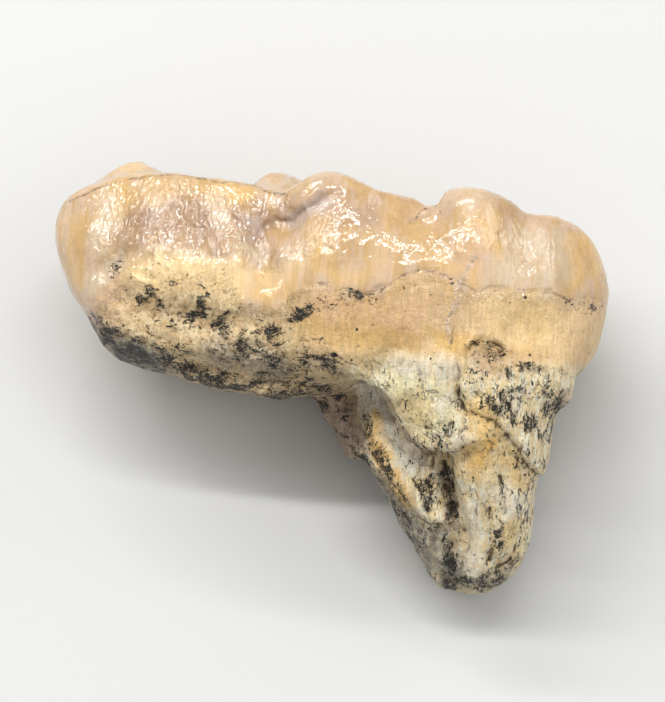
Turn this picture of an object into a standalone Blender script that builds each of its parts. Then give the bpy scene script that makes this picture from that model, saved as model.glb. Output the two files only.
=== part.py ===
"""Fossil cave bear tooth: an upper second molar of Ursus spelaeus, lying on its tongue side.

The tooth is one natural piece. It is shaped in a frame of its own, in millimetres: u runs forward
along the chewing surface, v from the root tips to the chewing surface, and w from the tongue side to
the cheek side. It is then laid down on the tongue side of its crown and on the tip of its long root.
"""

import math

import bmesh
import bpy
import numpy as np
from mathutils import Matrix, Vector, noise

MM = 0.001
NAME = "cave_bear_tooth"

# Resolution: the stations of a loft, the points round each ring, the voxels of the joined surface.
STATIONS = 110
RING_POINTS = 60
VOXEL = 0.42
BLEND_ROUNDS = 7
MOST_TRIANGLES = 9300

# The crown and the trunk under it, as profiles along u.
CHEEK_RIM = [
    (-23.1, 11.6), (-22.6, 12.7), (-21.8, 13.6), (-19.8, 14.7), (-17.8, 15.4), (-15.0, 15.7),
    (-11.7, 15.6), (-9.2, 15.5), (-7.6, 15.2), (-5.5, 14.9), (-4.0, 15.1), (-2.8, 15.9),
    (-1.2, 16.5), (0.1, 16.4), (1.3, 16.2), (2.6, 15.6), (4.6, 15.1), (6.7, 14.8), (7.3, 14.6),
    (7.9, 15.2), (8.7, 15.8), (9.9, 16.0), (11.1, 15.9), (12.3, 15.7), (13.6, 15.2),
    (15.2, 14.4), (16.5, 14.3), (17.7, 14.2), (19.0, 13.7), (20.2, 12.8), (21.1, 11.5),
    (21.7, 10.2), (22.1, 8.4),
]
TONGUE_RIM = [
    (-23.1, 10.8), (-21.5, 13.6), (-20.0, 15.4), (-18.6, 16.3), (-17.2, 16.6), (-15.8, 16.5),
    (-14.4, 16.0), (-13.0, 15.5), (-11.6, 15.0), (-8.8, 14.8), (-8.0, 15.2), (-7.2, 16.1),
    (-6.0, 16.5), (-4.6, 16.6), (-3.6, 16.3), (-2.8, 15.6), (-1.6, 14.9), (2.0, 14.4), (5.0, 14.4),
    (8.0, 15.1), (11.0, 15.2), (14.0, 14.0), (18.0, 13.0), (20.5, 11.8), (22.1, 8.4),
]
UNDERSIDE = [
    (-23.1, 9.6), (-22.6, 7.9), (-21.9, 6.6), (-20.8, 5.0), (-19.7, 3.1), (-18.6, 1.3),
    (-16.9, 0.4), (-14.8, -0.2), (-12.3, -0.7), (-9.9, -1.4), (-5.8, -1.8), (-3.0, -1.9),
    (0.0, -1.5), (5.0, 0.0), (12.0, 0.5), (19.3, 1.2), (20.5, 2.0), (21.3, 3.4), (21.8, 4.9),
    (22.1, 7.0),
]
CHEEK_BULGE = [
    (-23.0, 7.4), (-17.0, 8.1), (-10.0, 8.8), (-4.5, 8.8), (-1.0, 9.5), (3.0, 9.4), (7.0, 9.3),
    (11.0, 10.1), (17.0, 10.0), (22.0, 9.2),
]
TONGUE_BULGE = [
    (-23.0, 10.6), (-14.0, 11.5), (-6.0, 11.0), (1.0, 10.7), (10.0, 11.8), (17.0, 11.4),
    (22.0, 10.4),
]
CHEEK_RIM_SHARE = [(-23.0, 0.55), (-17.0, 0.56), (-7.0, 0.58), (-2.0, 0.68), (12.0, 0.68), (22.0, 0.6)]
VALLEY_DEPTH = [(-23.0, 0.0), (-20.0, 1.0), (-12.0, 1.5), (-2.0, 2.3), (7.0, 2.6), (15.0, 1.9), (21.0, 0.4)]
PLAN_MIDDLE, PLAN_HALF, PLAN_POWER = -0.5, 22.9, 3.4

# Lofted roots: v, then the least and greatest u, then the least and greatest w.
LONG_ROOT = [
    (7.0, 5.5, 20.0, -5.0, 7.5), (3.0, 3.0, 20.0, -5.0, 9.0), (0.0, 2.8, 19.3, -4.5, 9.2),
    (-2.0, 5.0, 18.4, -4.0, 8.9), (-4.5, 7.0, 17.9, -3.6, 8.3), (-7.0, 9.3, 17.1, -3.3, 7.5),
    (-10.4, 10.4, 17.0, -2.8, 6.5), (-13.5, 11.0, 16.7, -2.2, 5.3), (-15.7, 11.2, 15.2, -1.4, 4.1),
    (-16.8, 12.0, 13.8, 0.2, 2.8),
]
BACK_LOBE = [
    (5.0, 2.2, 12.0, -7.0, 4.8), (0.0, 2.2, 12.0, -6.5, 5.2), (-3.0, 2.9, 12.0, -6.0, 5.3),
    (-6.5, 3.6, 12.2, -5.4, 5.0), (-8.8, 4.9, 12.2, -5.0, 4.6), (-12.0, 6.7, 12.5, -4.8, 3.9),
    (-14.7, 8.5, 12.6, -4.0, 3.1), (-16.4, 9.8, 12.4, -2.4, 1.8),
]
BROKEN_ROOT = [
    (5.0, -1.5, 7.0, -7.8, -0.6), (0.0, -1.2, 6.0, -7.6, 0.6), (-2.1, -0.9, 5.5, -7.2, 1.2),
    (-4.6, 0.6, 5.0, -6.4, 0.6), (-6.6, 1.7, 4.6, -5.6, -0.4),
]

# Relief. Paths on the cheek and tongue sides are (u, v) points, on the chewing surface (u, w) points.
# A stroke is a ridge or, with a negative height, a groove: side, height, half width, path.
STROKES = [
    # The folds of the crown's cheek side, between its cusps.
    ("cheek", -0.7, 2.4, [(-4.6, 12.8), (-5.4, 11.6), (-6.2, 10.2), (-6.1, 8.6), (-5.7, 7.0)]),
    ("cheek", -0.45, 1.1, [(-5.0, 12.0), (-3.9, 12.2), (-2.9, 12.9), (-1.8, 13.6), (-0.8, 14.2)]),
    ("cheek", 0.3, 1.2, [(-4.4, 13.4), (-3.2, 14.3), (-2.0, 15.2)]),
    ("cheek", -0.3, 1.2, [(7.4, 14.8), (7.3, 13.8), (7.0, 12.8)]),
    ("cheek", -0.25, 2.8, [(7.1, 13.2), (7.4, 10.8)]),
    ("cheek", -0.25, 1.2, [(7.6, 14.2), (8.2, 13.4)]),
    ("cheek", -0.2, 1.8, [(-17.6, 14.4), (-17.8, 12.3), (-18.2, 9.8)]),
    ("cheek", -0.18, 1.7, [(-10.8, 14.8), (-10.2, 12.3), (-9.6, 10.3)]),
    ("cheek", 0.25, 2.6, [(-14.3, 13.6), (-14.4, 10.8)]),
    ("cheek", -0.25, 1.6, [(14.6, 14.2), (14.7, 11.4), (14.4, 9.6)]),
    ("cheek", -0.2, 1.8, [(18.3, 13.4), (18.9, 10.8), (19.0, 9.0)]),
    ("cheek", 0.35, 2.4, [(11.0, 14.4), (11.2, 11.0)]),
    ("cheek", 0.2, 2.8, [(0.6, 13.2), (0.8, 10.4)]),
    ("cheek", -0.15, 1.8, [(4.4, 14.0), (4.7, 11.2), (4.5, 9.4)]),
    ("cheek", 0.15, 0.8, [
        (-21.9, 12.9), (-18.9, 14.3), (-15.9, 15.2), (-12.9, 15.4), (-8.4, 15.0), (-5.4, 14.5),
    ]),
    ("cheek", -0.6, 1.5, [(-18.4, 7.4), (-17.6, 8.0), (-16.8, 8.6)]),
    # The root trunk under the talon: low swellings and the hollows between them.
    ("cheek", 0.5, 3.4, [(-14.6, 6.6), (-11.4, 6.9), (-8.6, 6.4)]),
    ("cheek", 0.45, 2.6, [(-15.8, 3.4), (-13.0, 1.9), (-9.8, 1.3)]),
    ("cheek", 0.5, 2.4, [(-5.2, 1.8), (-2.2, 1.9), (0.6, 1.6)]),
    ("cheek", -0.5, 1.6, [(-11.4, 4.2), (-9.2, 3.4), (-7.4, 3.9), (-5.4, 4.0)]),
    ("cheek", -0.45, 1.3, [(-16.8, 5.4), (-15.6, 4.6), (-13.8, 4.2)]),
    ("cheek", -0.5, 1.0, [(-12.0, 0.6), (-10.2, 0.4), (-7.6, 0.0), (-5.0, -0.5), (-1.8, -0.5)]),
    ("cheek", 0.45, 1.0, [(-11.0, -0.6), (-9.2, -0.9), (-8.2, -1.0)]),
    ("cheek", 0.4, 0.9, [(-5.6, -1.1), (-3.8, -1.2)]),
    # The neck over the long root, its pit and the swelling at the front.
    ("cheek", -0.1, 2.8, [(-1.6, 4.7), (3.0, 4.9), (8.0, 5.0), (14.0, 5.0), (19.0, 5.2)]),
    ("cheek", -1.1, 1.6, [(12.0, 2.3), (13.1, 2.2)]),
    ("cheek", 0.25, 1.1, [(10.6, 3.4), (11.6, 4.3), (12.9, 4.2), (14.3, 3.4)]),
    ("cheek", 0.7, 2.0, [(18.2, 0.8), (18.6, 0.0)]),
    # The long root: trough and groove beside its front lobe, and the grain of its lower half.
    ("cheek", -0.9, 1.4, [(3.0, -0.8), (4.2, -2.0), (5.3, -3.6), (6.5, -5.0), (7.5, -5.7), (9.0, -6.0)]),
    ("cheek", 0.6, 1.0, [(2.7, -1.4), (3.4, -2.8), (3.9, -4.5), (4.6, -6.1), (5.6, -7.4), (6.6, -8.6)]),
    ("cheek", -0.8, 1.1, [
        (9.4, -5.9), (9.7, -7.5), (10.1, -8.9), (10.7, -10.3), (11.3, -11.4), (11.5, -12.6),
    ]),
    ("cheek", -0.45, 1.2, [(10.3, 1.2), (10.2, 0.2), (10.5, -0.9), (11.0, -1.9)]),
    ("cheek", 0.25, 1.5, [(9.0, 1.6), (9.0, -0.4), (9.2, -2.2)]),
    ("cheek", 0.35, 1.8, [(12.4, -4.0), (12.4, -7.4)]),
    ("cheek", -0.45, 0.9, [(13.5, -9.3), (13.6, -11.2), (13.8, -13.6)]),
    ("cheek", -0.5, 0.9, [(14.2, -14.7), (15.1, -14.0), (15.6, -13.0), (15.8, -11.4)]),
    ("cheek", 0.4, 1.0, [(14.8, -8.4), (14.8, -11.0), (14.7, -12.8)]),
    ("cheek", 0.45, 1.1, [(8.2, -11.8), (9.4, -13.4), (10.6, -14.6)]),
    # The tongue side: the groove between its cusps, the collar and the furrows of the fused roots.
    ("tongue", -1.0, 1.8, [(2.4, 15.4), (2.8, 12.0), (2.6, 9.4), (2.2, 7.2)]),
    ("tongue", -0.7, 1.6, [(-11.4, 15.6), (-11.0, 12.6), (-11.2, 10.0)]),
    ("tongue", -0.5, 1.5, [(14.6, 13.8), (14.9, 11.4)]),
    ("tongue", 0.5, 1.2, [(-18.0, 6.4), (-12.0, 5.4), (-4.0, 5.0), (4.0, 5.2), (12.0, 5.0), (18.0, 5.8)]),
    ("tongue", -0.5, 1.3, [(-17.0, 4.0), (-10.0, 3.0), (0.0, 2.8), (9.0, 2.8), (17.0, 3.6)]),
    ("tongue", -1.2, 2.0, [(10.4, -1.0), (11.4, -5.0), (12.2, -9.0), (12.6, -13.0)]),
    ("tongue", -0.9, 1.6, [(-3.2, 2.2), (-3.8, -0.4), (-4.0, -1.8)]),
    ("tongue", -0.6, 1.6, [(-13.4, 3.0), (-12.6, 0.8)]),
    # The chewing surface: its long valley, the cross valleys, the cusps' inner ridges and wrinkles.
    ("top", -0.55, 1.2, [
        (-19.0, 0.6), (-15.0, -0.8), (-10.0, 0.5), (-5.0, -0.6), (0.0, 0.7), (5.0, -0.5), (10.0, 0.6),
        (17.0, 0.0),
    ]),
    ("top", -1.0, 1.4, [(7.2, 5.2), (7.0, 3.5), (6.6, 1.0)]),
    ("top", -1.0, 1.5, [(-4.6, 4.4), (-4.2, 3.0), (-3.4, 0.6)]),
    ("top", -1.0, 1.7, [(2.6, -6.6), (3.0, -4.0), (3.4, -1.0)]),
    ("top", -0.9, 1.5, [(-11.2, -6.6), (-10.8, -4.4), (-10.4, -1.0)]),
    ("top", -0.7, 1.2, [(14.8, -6.0), (14.8, -4.0), (15.4, -1.0)]),
    ("top", -0.7, 1.1, [(15.3, 4.8), (15.2, 3.4), (15.6, 1.0)]),
    ("top", 0.9, 1.4, [(10.1, 4.6), (9.8, 3.4), (10.0, 1.6)]),
    ("top", 0.9, 1.4, [(-0.2, 4.6), (0.2, 3.4), (0.6, 1.6)]),
    ("top", 0.8, 1.5, [(8.8, -5.4), (9.0, -4.0), (8.6, -2.0)]),
    ("top", 0.6, 1.9, [(-5.6, -5.4), (-5.2, -4.0), (-5.4, -2.0)]),
    ("top", 0.4, 2.0, [(-17.4, -5.2), (-16.8, -3.8), (-17.0, -2.0)]),
    ("top", -0.35, 1.0, [(-19.4, 2.8), (-17.4, 2.4), (-16.2, 0.8)]),
    ("top", -0.35, 1.0, [(-19.2, -3.6), (-17.6, -2.2), (-17.8, -1.0)]),
    ("top", -0.4, 1.0, [(-14.8, 3.8), (-13.2, 2.8), (-13.4, 1.4)]),
    ("top", -0.35, 1.0, [(-9.4, 3.7), (-8.4, 2.6), (-8.6, 1.4)]),
    ("top", -0.4, 1.0, [(-14.6, -5.6), (-12.9, -4.2), (-13.6, -2.0)]),
    ("top", -0.35, 1.0, [(-8.6, -5.4), (-7.4, -4.0), (-8.2, -2.2)]),
    ("top", -0.35, 1.0, [(3.4, 4.6), (4.4, 3.2), (4.2, 1.6)]),
    ("top", -0.35, 1.0, [(12.4, -5.4), (11.6, -4.0), (12.2, -2.4)]),
]
# A step is the edge of a layer: the surface on the left of its path stands proud.
# side, height, width of the edge, reach of the layer, path.
STEPS = [
    # The enamel's lower edge, and the same edge on the tongue side.
    ("cheek", 0.15, 0.8, 3.0, [
        (-20.8, 4.6), (-18.8, 4.8), (-17.8, 6.8), (-15.8, 8.7), (-14.0, 9.2), (-10.5, 8.8), (-8.2, 8.2),
        (-7.2, 6.2), (-6.3, 5.3), (-4.6, 5.2), (-3.5, 6.3), (-1.4, 7.4), (2.0, 7.0), (3.5, 7.3),
        (5.5, 8.5), (8.0, 8.9), (11.3, 7.6), (14.0, 7.8), (17.3, 7.9), (19.0, 7.4), (21.0, 7.5),
    ]),
    ("tongue", 0.2, 0.8, 3.0, [(20.0, 5.0), (10.0, 4.2), (0.0, 4.2), (-10.0, 4.6), (-20.0, 5.6)]),
    # The layer of root cement that ends in a ledge above the trough.
    ("cheek", 0.55, 0.6, 3.6, [
        (2.5, 0.2), (4.4, -0.6), (5.5, -2.0), (6.7, -3.9), (8.2, -5.3), (9.5, -5.3), (11.6, -4.5),
    ]),
    # The speckled plate below the pit, and the flake that ends above the grey tip.
    ("cheek", 0.5, 0.6, 3.4, [
        (10.4, 1.4), (10.6, -0.9), (11.4, -1.9), (13.1, -2.2), (14.9, -3.9), (16.1, -5.7), (17.6, -7.0),
    ]),
    ("cheek", 0.6, 0.6, 2.4, [(4.5, -6.3), (6.4, -8.7), (8.2, -10.6), (9.9, -11.1)]),
]
# Grain all over, in two sizes: wave length and height.
GRAIN = [(4.2, 0.30), (1.7, 0.12)]
ENAMEL_GRAIN = 0.4
# The chewing surface is pebbled as well, with rounded grains between sharp creases.
PEBBLE_WAVE, PEBBLE_HEIGHT = 2.6, 0.7

# How it lies: the roots drop by this angle, and the lowest points are worn flat by this much.
REST_TILT = math.radians(20.0)
WORN_FLAT = 0.4


def profile(points, at):
    """A smooth curve through (place, value) points, with no overshoot between them."""
    x, y = np.array(points, float).T
    slope = np.diff(y) / np.diff(x)
    tangent = np.zeros(len(x))
    same_way = slope[1:] * slope[:-1] > 0
    tangent[1:-1][same_way] = (2 * slope[1:] * slope[:-1])[same_way] / (slope[1:] + slope[:-1])[same_way]
    tangent[0], tangent[-1] = slope[0], slope[-1]
    at = np.clip(np.asarray(at, float), x[0], x[-1])
    i = np.clip(np.searchsorted(x, at, side="right") - 1, 0, len(x) - 2)
    h = x[i + 1] - x[i]
    t = (at - x[i]) / h
    return (
        (1 + 2 * t) * (1 - t) ** 2 * y[i]
        + t * (1 - t) ** 2 * h * tangent[i]
        + t * t * (3 - 2 * t) * y[i + 1]
        + t * t * (t - 1) * h * tangent[i + 1]
    )


def closed_ring(corners):
    """RING_POINTS points on a closed Catmull-Rom curve through the corners."""
    p = np.array(corners, float)
    at = np.arange(RING_POINTS) * len(p) / RING_POINTS
    i = at.astype(int)
    t = (at - i)[:, None]
    a, b, c, d = (p[(i + k) % len(p)] for k in (-1, 0, 1, 2))
    return 0.5 * (2 * b + (c - a) * t + (2 * a - 5 * b + 4 * c - d) * t**2 + (3 * b - a - 3 * c + d) * t**3)


def add_object(data):
    """An object of that mesh, in the collection named for the tooth."""
    obj = bpy.data.objects.new(data.name, data)
    bpy.data.collections[NAME].objects.link(obj)
    return obj


def loft(name, rings):
    """A closed mesh object through rings of as many points each, capped at both ends."""
    mesh = bmesh.new()
    rows = [[mesh.verts.new(point) for point in ring] for ring in rings]
    for low, high in zip(rows, rows[1:]):
        for i in range(len(low)):
            j = (i + 1) % len(low)
            mesh.faces.new((low[i], low[j], high[j], high[i]))
    mesh.faces.new(rows[0][::-1])
    mesh.faces.new(rows[-1])
    bmesh.ops.recalc_face_normals(mesh, faces=mesh.faces)
    data = bpy.data.meshes.new(name)
    mesh.to_mesh(data)
    mesh.free()
    return add_object(data)


def crown_section(u):
    """One ring of the crown and trunk, square to u, as (u, v, w) points."""
    plan = max(1 - abs((u - PLAN_MIDDLE) / PLAN_HALF) ** PLAN_POWER, 0.01) ** (1 / 2.2)
    cheek, tongue = (profile(bulge, u) * plan for bulge in (CHEEK_BULGE, TONGUE_BULGE))
    cheek_rim, tongue_rim, under = (profile(line, u) for line in (CHEEK_RIM, TONGUE_RIM, UNDERSIDE))
    rim_share = profile(CHEEK_RIM_SHARE, u)
    valley = (cheek_rim + tongue_rim) / 2 - profile(VALLEY_DEPTH, u)

    def up(rim, share):
        return under + share * (rim - under)

    corners = [
        (0.0, under),
        (-0.62 * tongue, up(tongue_rim, 0.06)),
        (-0.88 * tongue, up(tongue_rim, 0.28)),
        (-1.00 * tongue, up(tongue_rim, 0.52)),
        (-0.92 * tongue, up(tongue_rim, 0.80)),
        (-0.68 * tongue, tongue_rim - 0.1),
        (-0.40 * tongue, valley + 0.66 * (tongue_rim - valley)),
        (0.0, valley),
        (0.52 * rim_share * cheek, valley + 0.50 * (cheek_rim - valley)),
        (rim_share * cheek, cheek_rim),
        ((0.40 + 0.70 * rim_share) * cheek, up(cheek_rim, 0.83)),
        (0.98 * cheek, up(cheek_rim, 0.62)),
        (0.99 * cheek, up(cheek_rim, 0.40)),
        (0.90 * cheek, up(cheek_rim, 0.20)),
        (0.60 * cheek, up(cheek_rim, 0.04)),
    ]
    return [(u, v, w) for w, v in closed_ring(corners)]


def crown():
    first, last = CHEEK_RIM[0][0], CHEEK_RIM[-1][0]
    turn = np.linspace(0, math.pi, STATIONS)
    return loft("crown", [crown_section(u) for u in (first + last) / 2 - (last - first) / 2 * np.cos(turn)])


def root(name, sections):
    """A root lofted downwards: each ring is a rounded box between its least and greatest u and w."""
    heights = [s[0] for s in sections]
    rings = []
    for v in np.linspace(heights[0], heights[-1], STATIONS // 2):
        left, right, low, high = (
            profile(sorted((s[0], s[k]) for s in sections), v) for k in (1, 2, 3, 4)
        )
        turn = np.arange(RING_POINTS) * 2 * math.pi / RING_POINTS
        along, across = np.cos(turn), np.sin(turn)
        u = (left + right) / 2 + (right - left) / 2 * np.sign(along) * np.abs(along) ** 0.8
        w = (low + high) / 2 + (high - low) / 2 * np.sign(across) * np.abs(across) ** 0.8
        rings.append(list(zip(u, np.full(RING_POINTS, v), w)))
    return loft(name, rings)


def fused(pieces):
    """The lofts grown together in one skin, with the creases between them softened."""
    whole = bmesh.new()
    for piece in pieces:
        whole.from_mesh(piece.data)
        bpy.data.objects.remove(piece)
    data = bpy.data.meshes.new(NAME)
    whole.to_mesh(data)
    whole.free()
    tooth = add_object(data)
    skin = tooth.modifiers.new("skin", "REMESH")
    skin.mode = "VOXEL"
    skin.voxel_size = VOXEL
    soften = tooth.modifiers.new("soften", "SMOOTH")
    soften.factor = 0.5
    soften.iterations = BLEND_ROUNDS
    apply_modifiers(tooth)
    return tooth


def apply_modifiers(obj):
    graph = bpy.context.evaluated_depsgraph_get()
    data = bpy.data.meshes.new_from_object(obj.evaluated_get(graph))
    obj.modifiers.clear()
    obj.data = data


def path_distance(at, path):
    """Distances from points to a path, and whether each point is on the path's left."""
    nearest = np.full(len(at), np.inf)
    left = np.zeros(len(at), bool)
    for a, b in zip(np.array(path[:-1], float), np.array(path[1:], float)):
        way = b - a
        t = np.clip((at - a) @ way / (way @ way), 0, 1)
        off = at - a - t[:, None] * way
        gap = np.hypot(off[:, 0], off[:, 1])
        closer = gap < nearest
        nearest[closer] = gap[closer]
        left[closer] = (way[0] * off[:, 1] - way[1] * off[:, 0] > 0)[closer]
    return nearest, left


def smooth_step(low, high, value):
    t = np.clip((value - low) / (high - low), 0, 1)
    return t * t * (3 - 2 * t)


def faces_side(side, points, normals):
    """How far each vertex belongs to a side, from 0 to 1, and its two coordinates along that side."""
    if side == "top":
        share = smooth_step(0.0, 0.35, normals[:, 1]) * smooth_step(8.0, 10.0, points[:, 1])
        return share, points[:, (0, 2)]
    sign = 1 if side == "cheek" else -1
    return smooth_step(-0.1, 0.3, sign * normals[:, 2]), points[:, (0, 1)]


def add_relief(tooth):
    data = tooth.data
    points = np.array([v.co for v in data.vertices])
    normals = np.array([v.normal for v in data.vertices])
    height = np.zeros(len(points))
    for side, rise, half_width, path in STROKES:
        share, at = faces_side(side, points, normals)
        gap, _ = path_distance(at, path)
        height += rise * share * np.clip(1 - (gap / half_width) ** 2, 0, 1) ** 2
    for side, rise, edge, reach, path in STEPS:
        share, at = faces_side(side, points, normals)
        gap, left = path_distance(at, path)
        proud = smooth_step(-edge / 2, edge / 2, np.where(left, gap, -gap))
        height += rise * share * proud * (1 - smooth_step(reach / 3, reach, gap))
    rough = ENAMEL_GRAIN + (1 - ENAMEL_GRAIN) * smooth_step(8.5, 5.5, points[:, 1])
    for wave, rise in GRAIN:
        height += rise * rough * np.array([noise.noise(Vector(p / wave)) for p in points])
    on_top, _ = faces_side("top", points, normals)
    pebbles = np.abs([noise.noise(Vector(p / PEBBLE_WAVE)) for p in points])
    inside = smooth_step(4.4, 3.2, points[:, 2]) * smooth_step(-7.0, -5.6, points[:, 2])
    inside *= smooth_step(19.5, 17.5, np.abs(points[:, 0]))
    height += PEBBLE_HEIGHT * on_top * inside * (pebbles - 0.2)
    moved = points + normals * height[:, None]
    data.vertices.foreach_set("co", moved.ravel())
    data.update()


def lay_down(tooth):
    """From the tooth's own frame to metres, with the tongue side down and the origin under its middle."""
    tooth.data.transform(Matrix.Rotation(REST_TILT, 4, "X"))
    points = np.array([v.co for v in tooth.data.vertices])
    low, high = points.min(0), points.max(0)
    middle = (low + high) / 2
    tooth.data.transform(Matrix.Translation(Vector((-middle[0], -middle[1], -low[2] - WORN_FLAT))))
    tooth.data.transform(Matrix.Scale(MM, 4))


def wear_flat(tooth):
    """Cuts off what is below the surface that it rests on, and closes the cuts."""
    mesh = bmesh.new()
    mesh.from_mesh(tooth.data)
    everything = mesh.verts[:] + mesh.edges[:] + mesh.faces[:]
    bmesh.ops.bisect_plane(
        mesh, geom=everything, dist=1e-7, plane_co=(0, 0, 0), plane_no=(0, 0, 1), clear_inner=True
    )
    rim = [edge for edge in mesh.edges if edge.is_boundary]
    bmesh.ops.holes_fill(mesh, edges=rim)
    bmesh.ops.triangulate(mesh, faces=mesh.faces)
    mesh.to_mesh(tooth.data)
    mesh.free()


def thin_out(tooth):
    triangles = len(tooth.data.polygons) * 2
    fewer = tooth.modifiers.new("fewer", "DECIMATE")
    fewer.ratio = min(1.0, MOST_TRIANGLES / triangles)
    apply_modifiers(tooth)


def fossil_material():
    material = bpy.data.materials.new("fossil_enamel")
    material.use_nodes = True
    shader = material.node_tree.nodes["Principled BSDF"]
    shader.inputs["Base Color"].default_value = (0.66, 0.48, 0.28, 1)
    shader.inputs["Roughness"].default_value = 0.35
    shader.inputs["Metallic"].default_value = 0.0
    return material


def main():
    for obj in list(bpy.data.objects):
        bpy.data.objects.remove(obj)
    bpy.context.scene.collection.children.link(bpy.data.collections.new(NAME))
    lofts = [
        crown(),
        root("long_root", LONG_ROOT),
        root("back_lobe", BACK_LOBE),
        root("broken_root", BROKEN_ROOT),
    ]
    tooth = fused(lofts)
    add_relief(tooth)
    lay_down(tooth)
    thin_out(tooth)
    wear_flat(tooth)
    tooth.data.shade_smooth()
    tooth.data.materials.append(fossil_material())


main()
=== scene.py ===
"""Looks of the fossil cave bear tooth: fine relief, enamel, root cement, stains, floor, lamps and camera.

Shapes and colour zones are given in the tooth's own frame, in millimetres: u runs forward along the
crown, v from the root tips to the chewing surface, and w from the tongue side to the cheek side.
"""

import math

import bmesh
import bpy
import numpy as np
from mathutils import Matrix, Vector, noise


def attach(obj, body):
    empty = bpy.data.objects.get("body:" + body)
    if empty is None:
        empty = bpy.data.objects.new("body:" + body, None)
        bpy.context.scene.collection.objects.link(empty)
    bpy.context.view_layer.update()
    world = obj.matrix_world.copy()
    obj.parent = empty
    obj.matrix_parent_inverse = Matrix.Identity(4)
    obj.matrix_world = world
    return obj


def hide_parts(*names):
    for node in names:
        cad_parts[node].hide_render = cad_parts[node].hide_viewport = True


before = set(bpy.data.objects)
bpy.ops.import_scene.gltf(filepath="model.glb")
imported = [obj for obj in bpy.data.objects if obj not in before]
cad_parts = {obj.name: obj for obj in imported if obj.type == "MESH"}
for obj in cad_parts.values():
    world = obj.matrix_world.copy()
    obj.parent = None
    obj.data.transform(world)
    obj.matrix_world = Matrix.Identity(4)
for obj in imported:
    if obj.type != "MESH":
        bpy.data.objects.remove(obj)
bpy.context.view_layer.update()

NODE = "cave_bear_tooth"
MM_PER_METRE = 1000.0
# As the part lies, the tooth's frame leans by LEAN about X and is moved by SHIFT, in millimetres.
LEAN = math.radians(20.0)
TURN = np.array(Matrix.Rotation(LEAN, 3, "X"))
SHIFT = np.array([0.4872, -0.7208, 8.4357])

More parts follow.
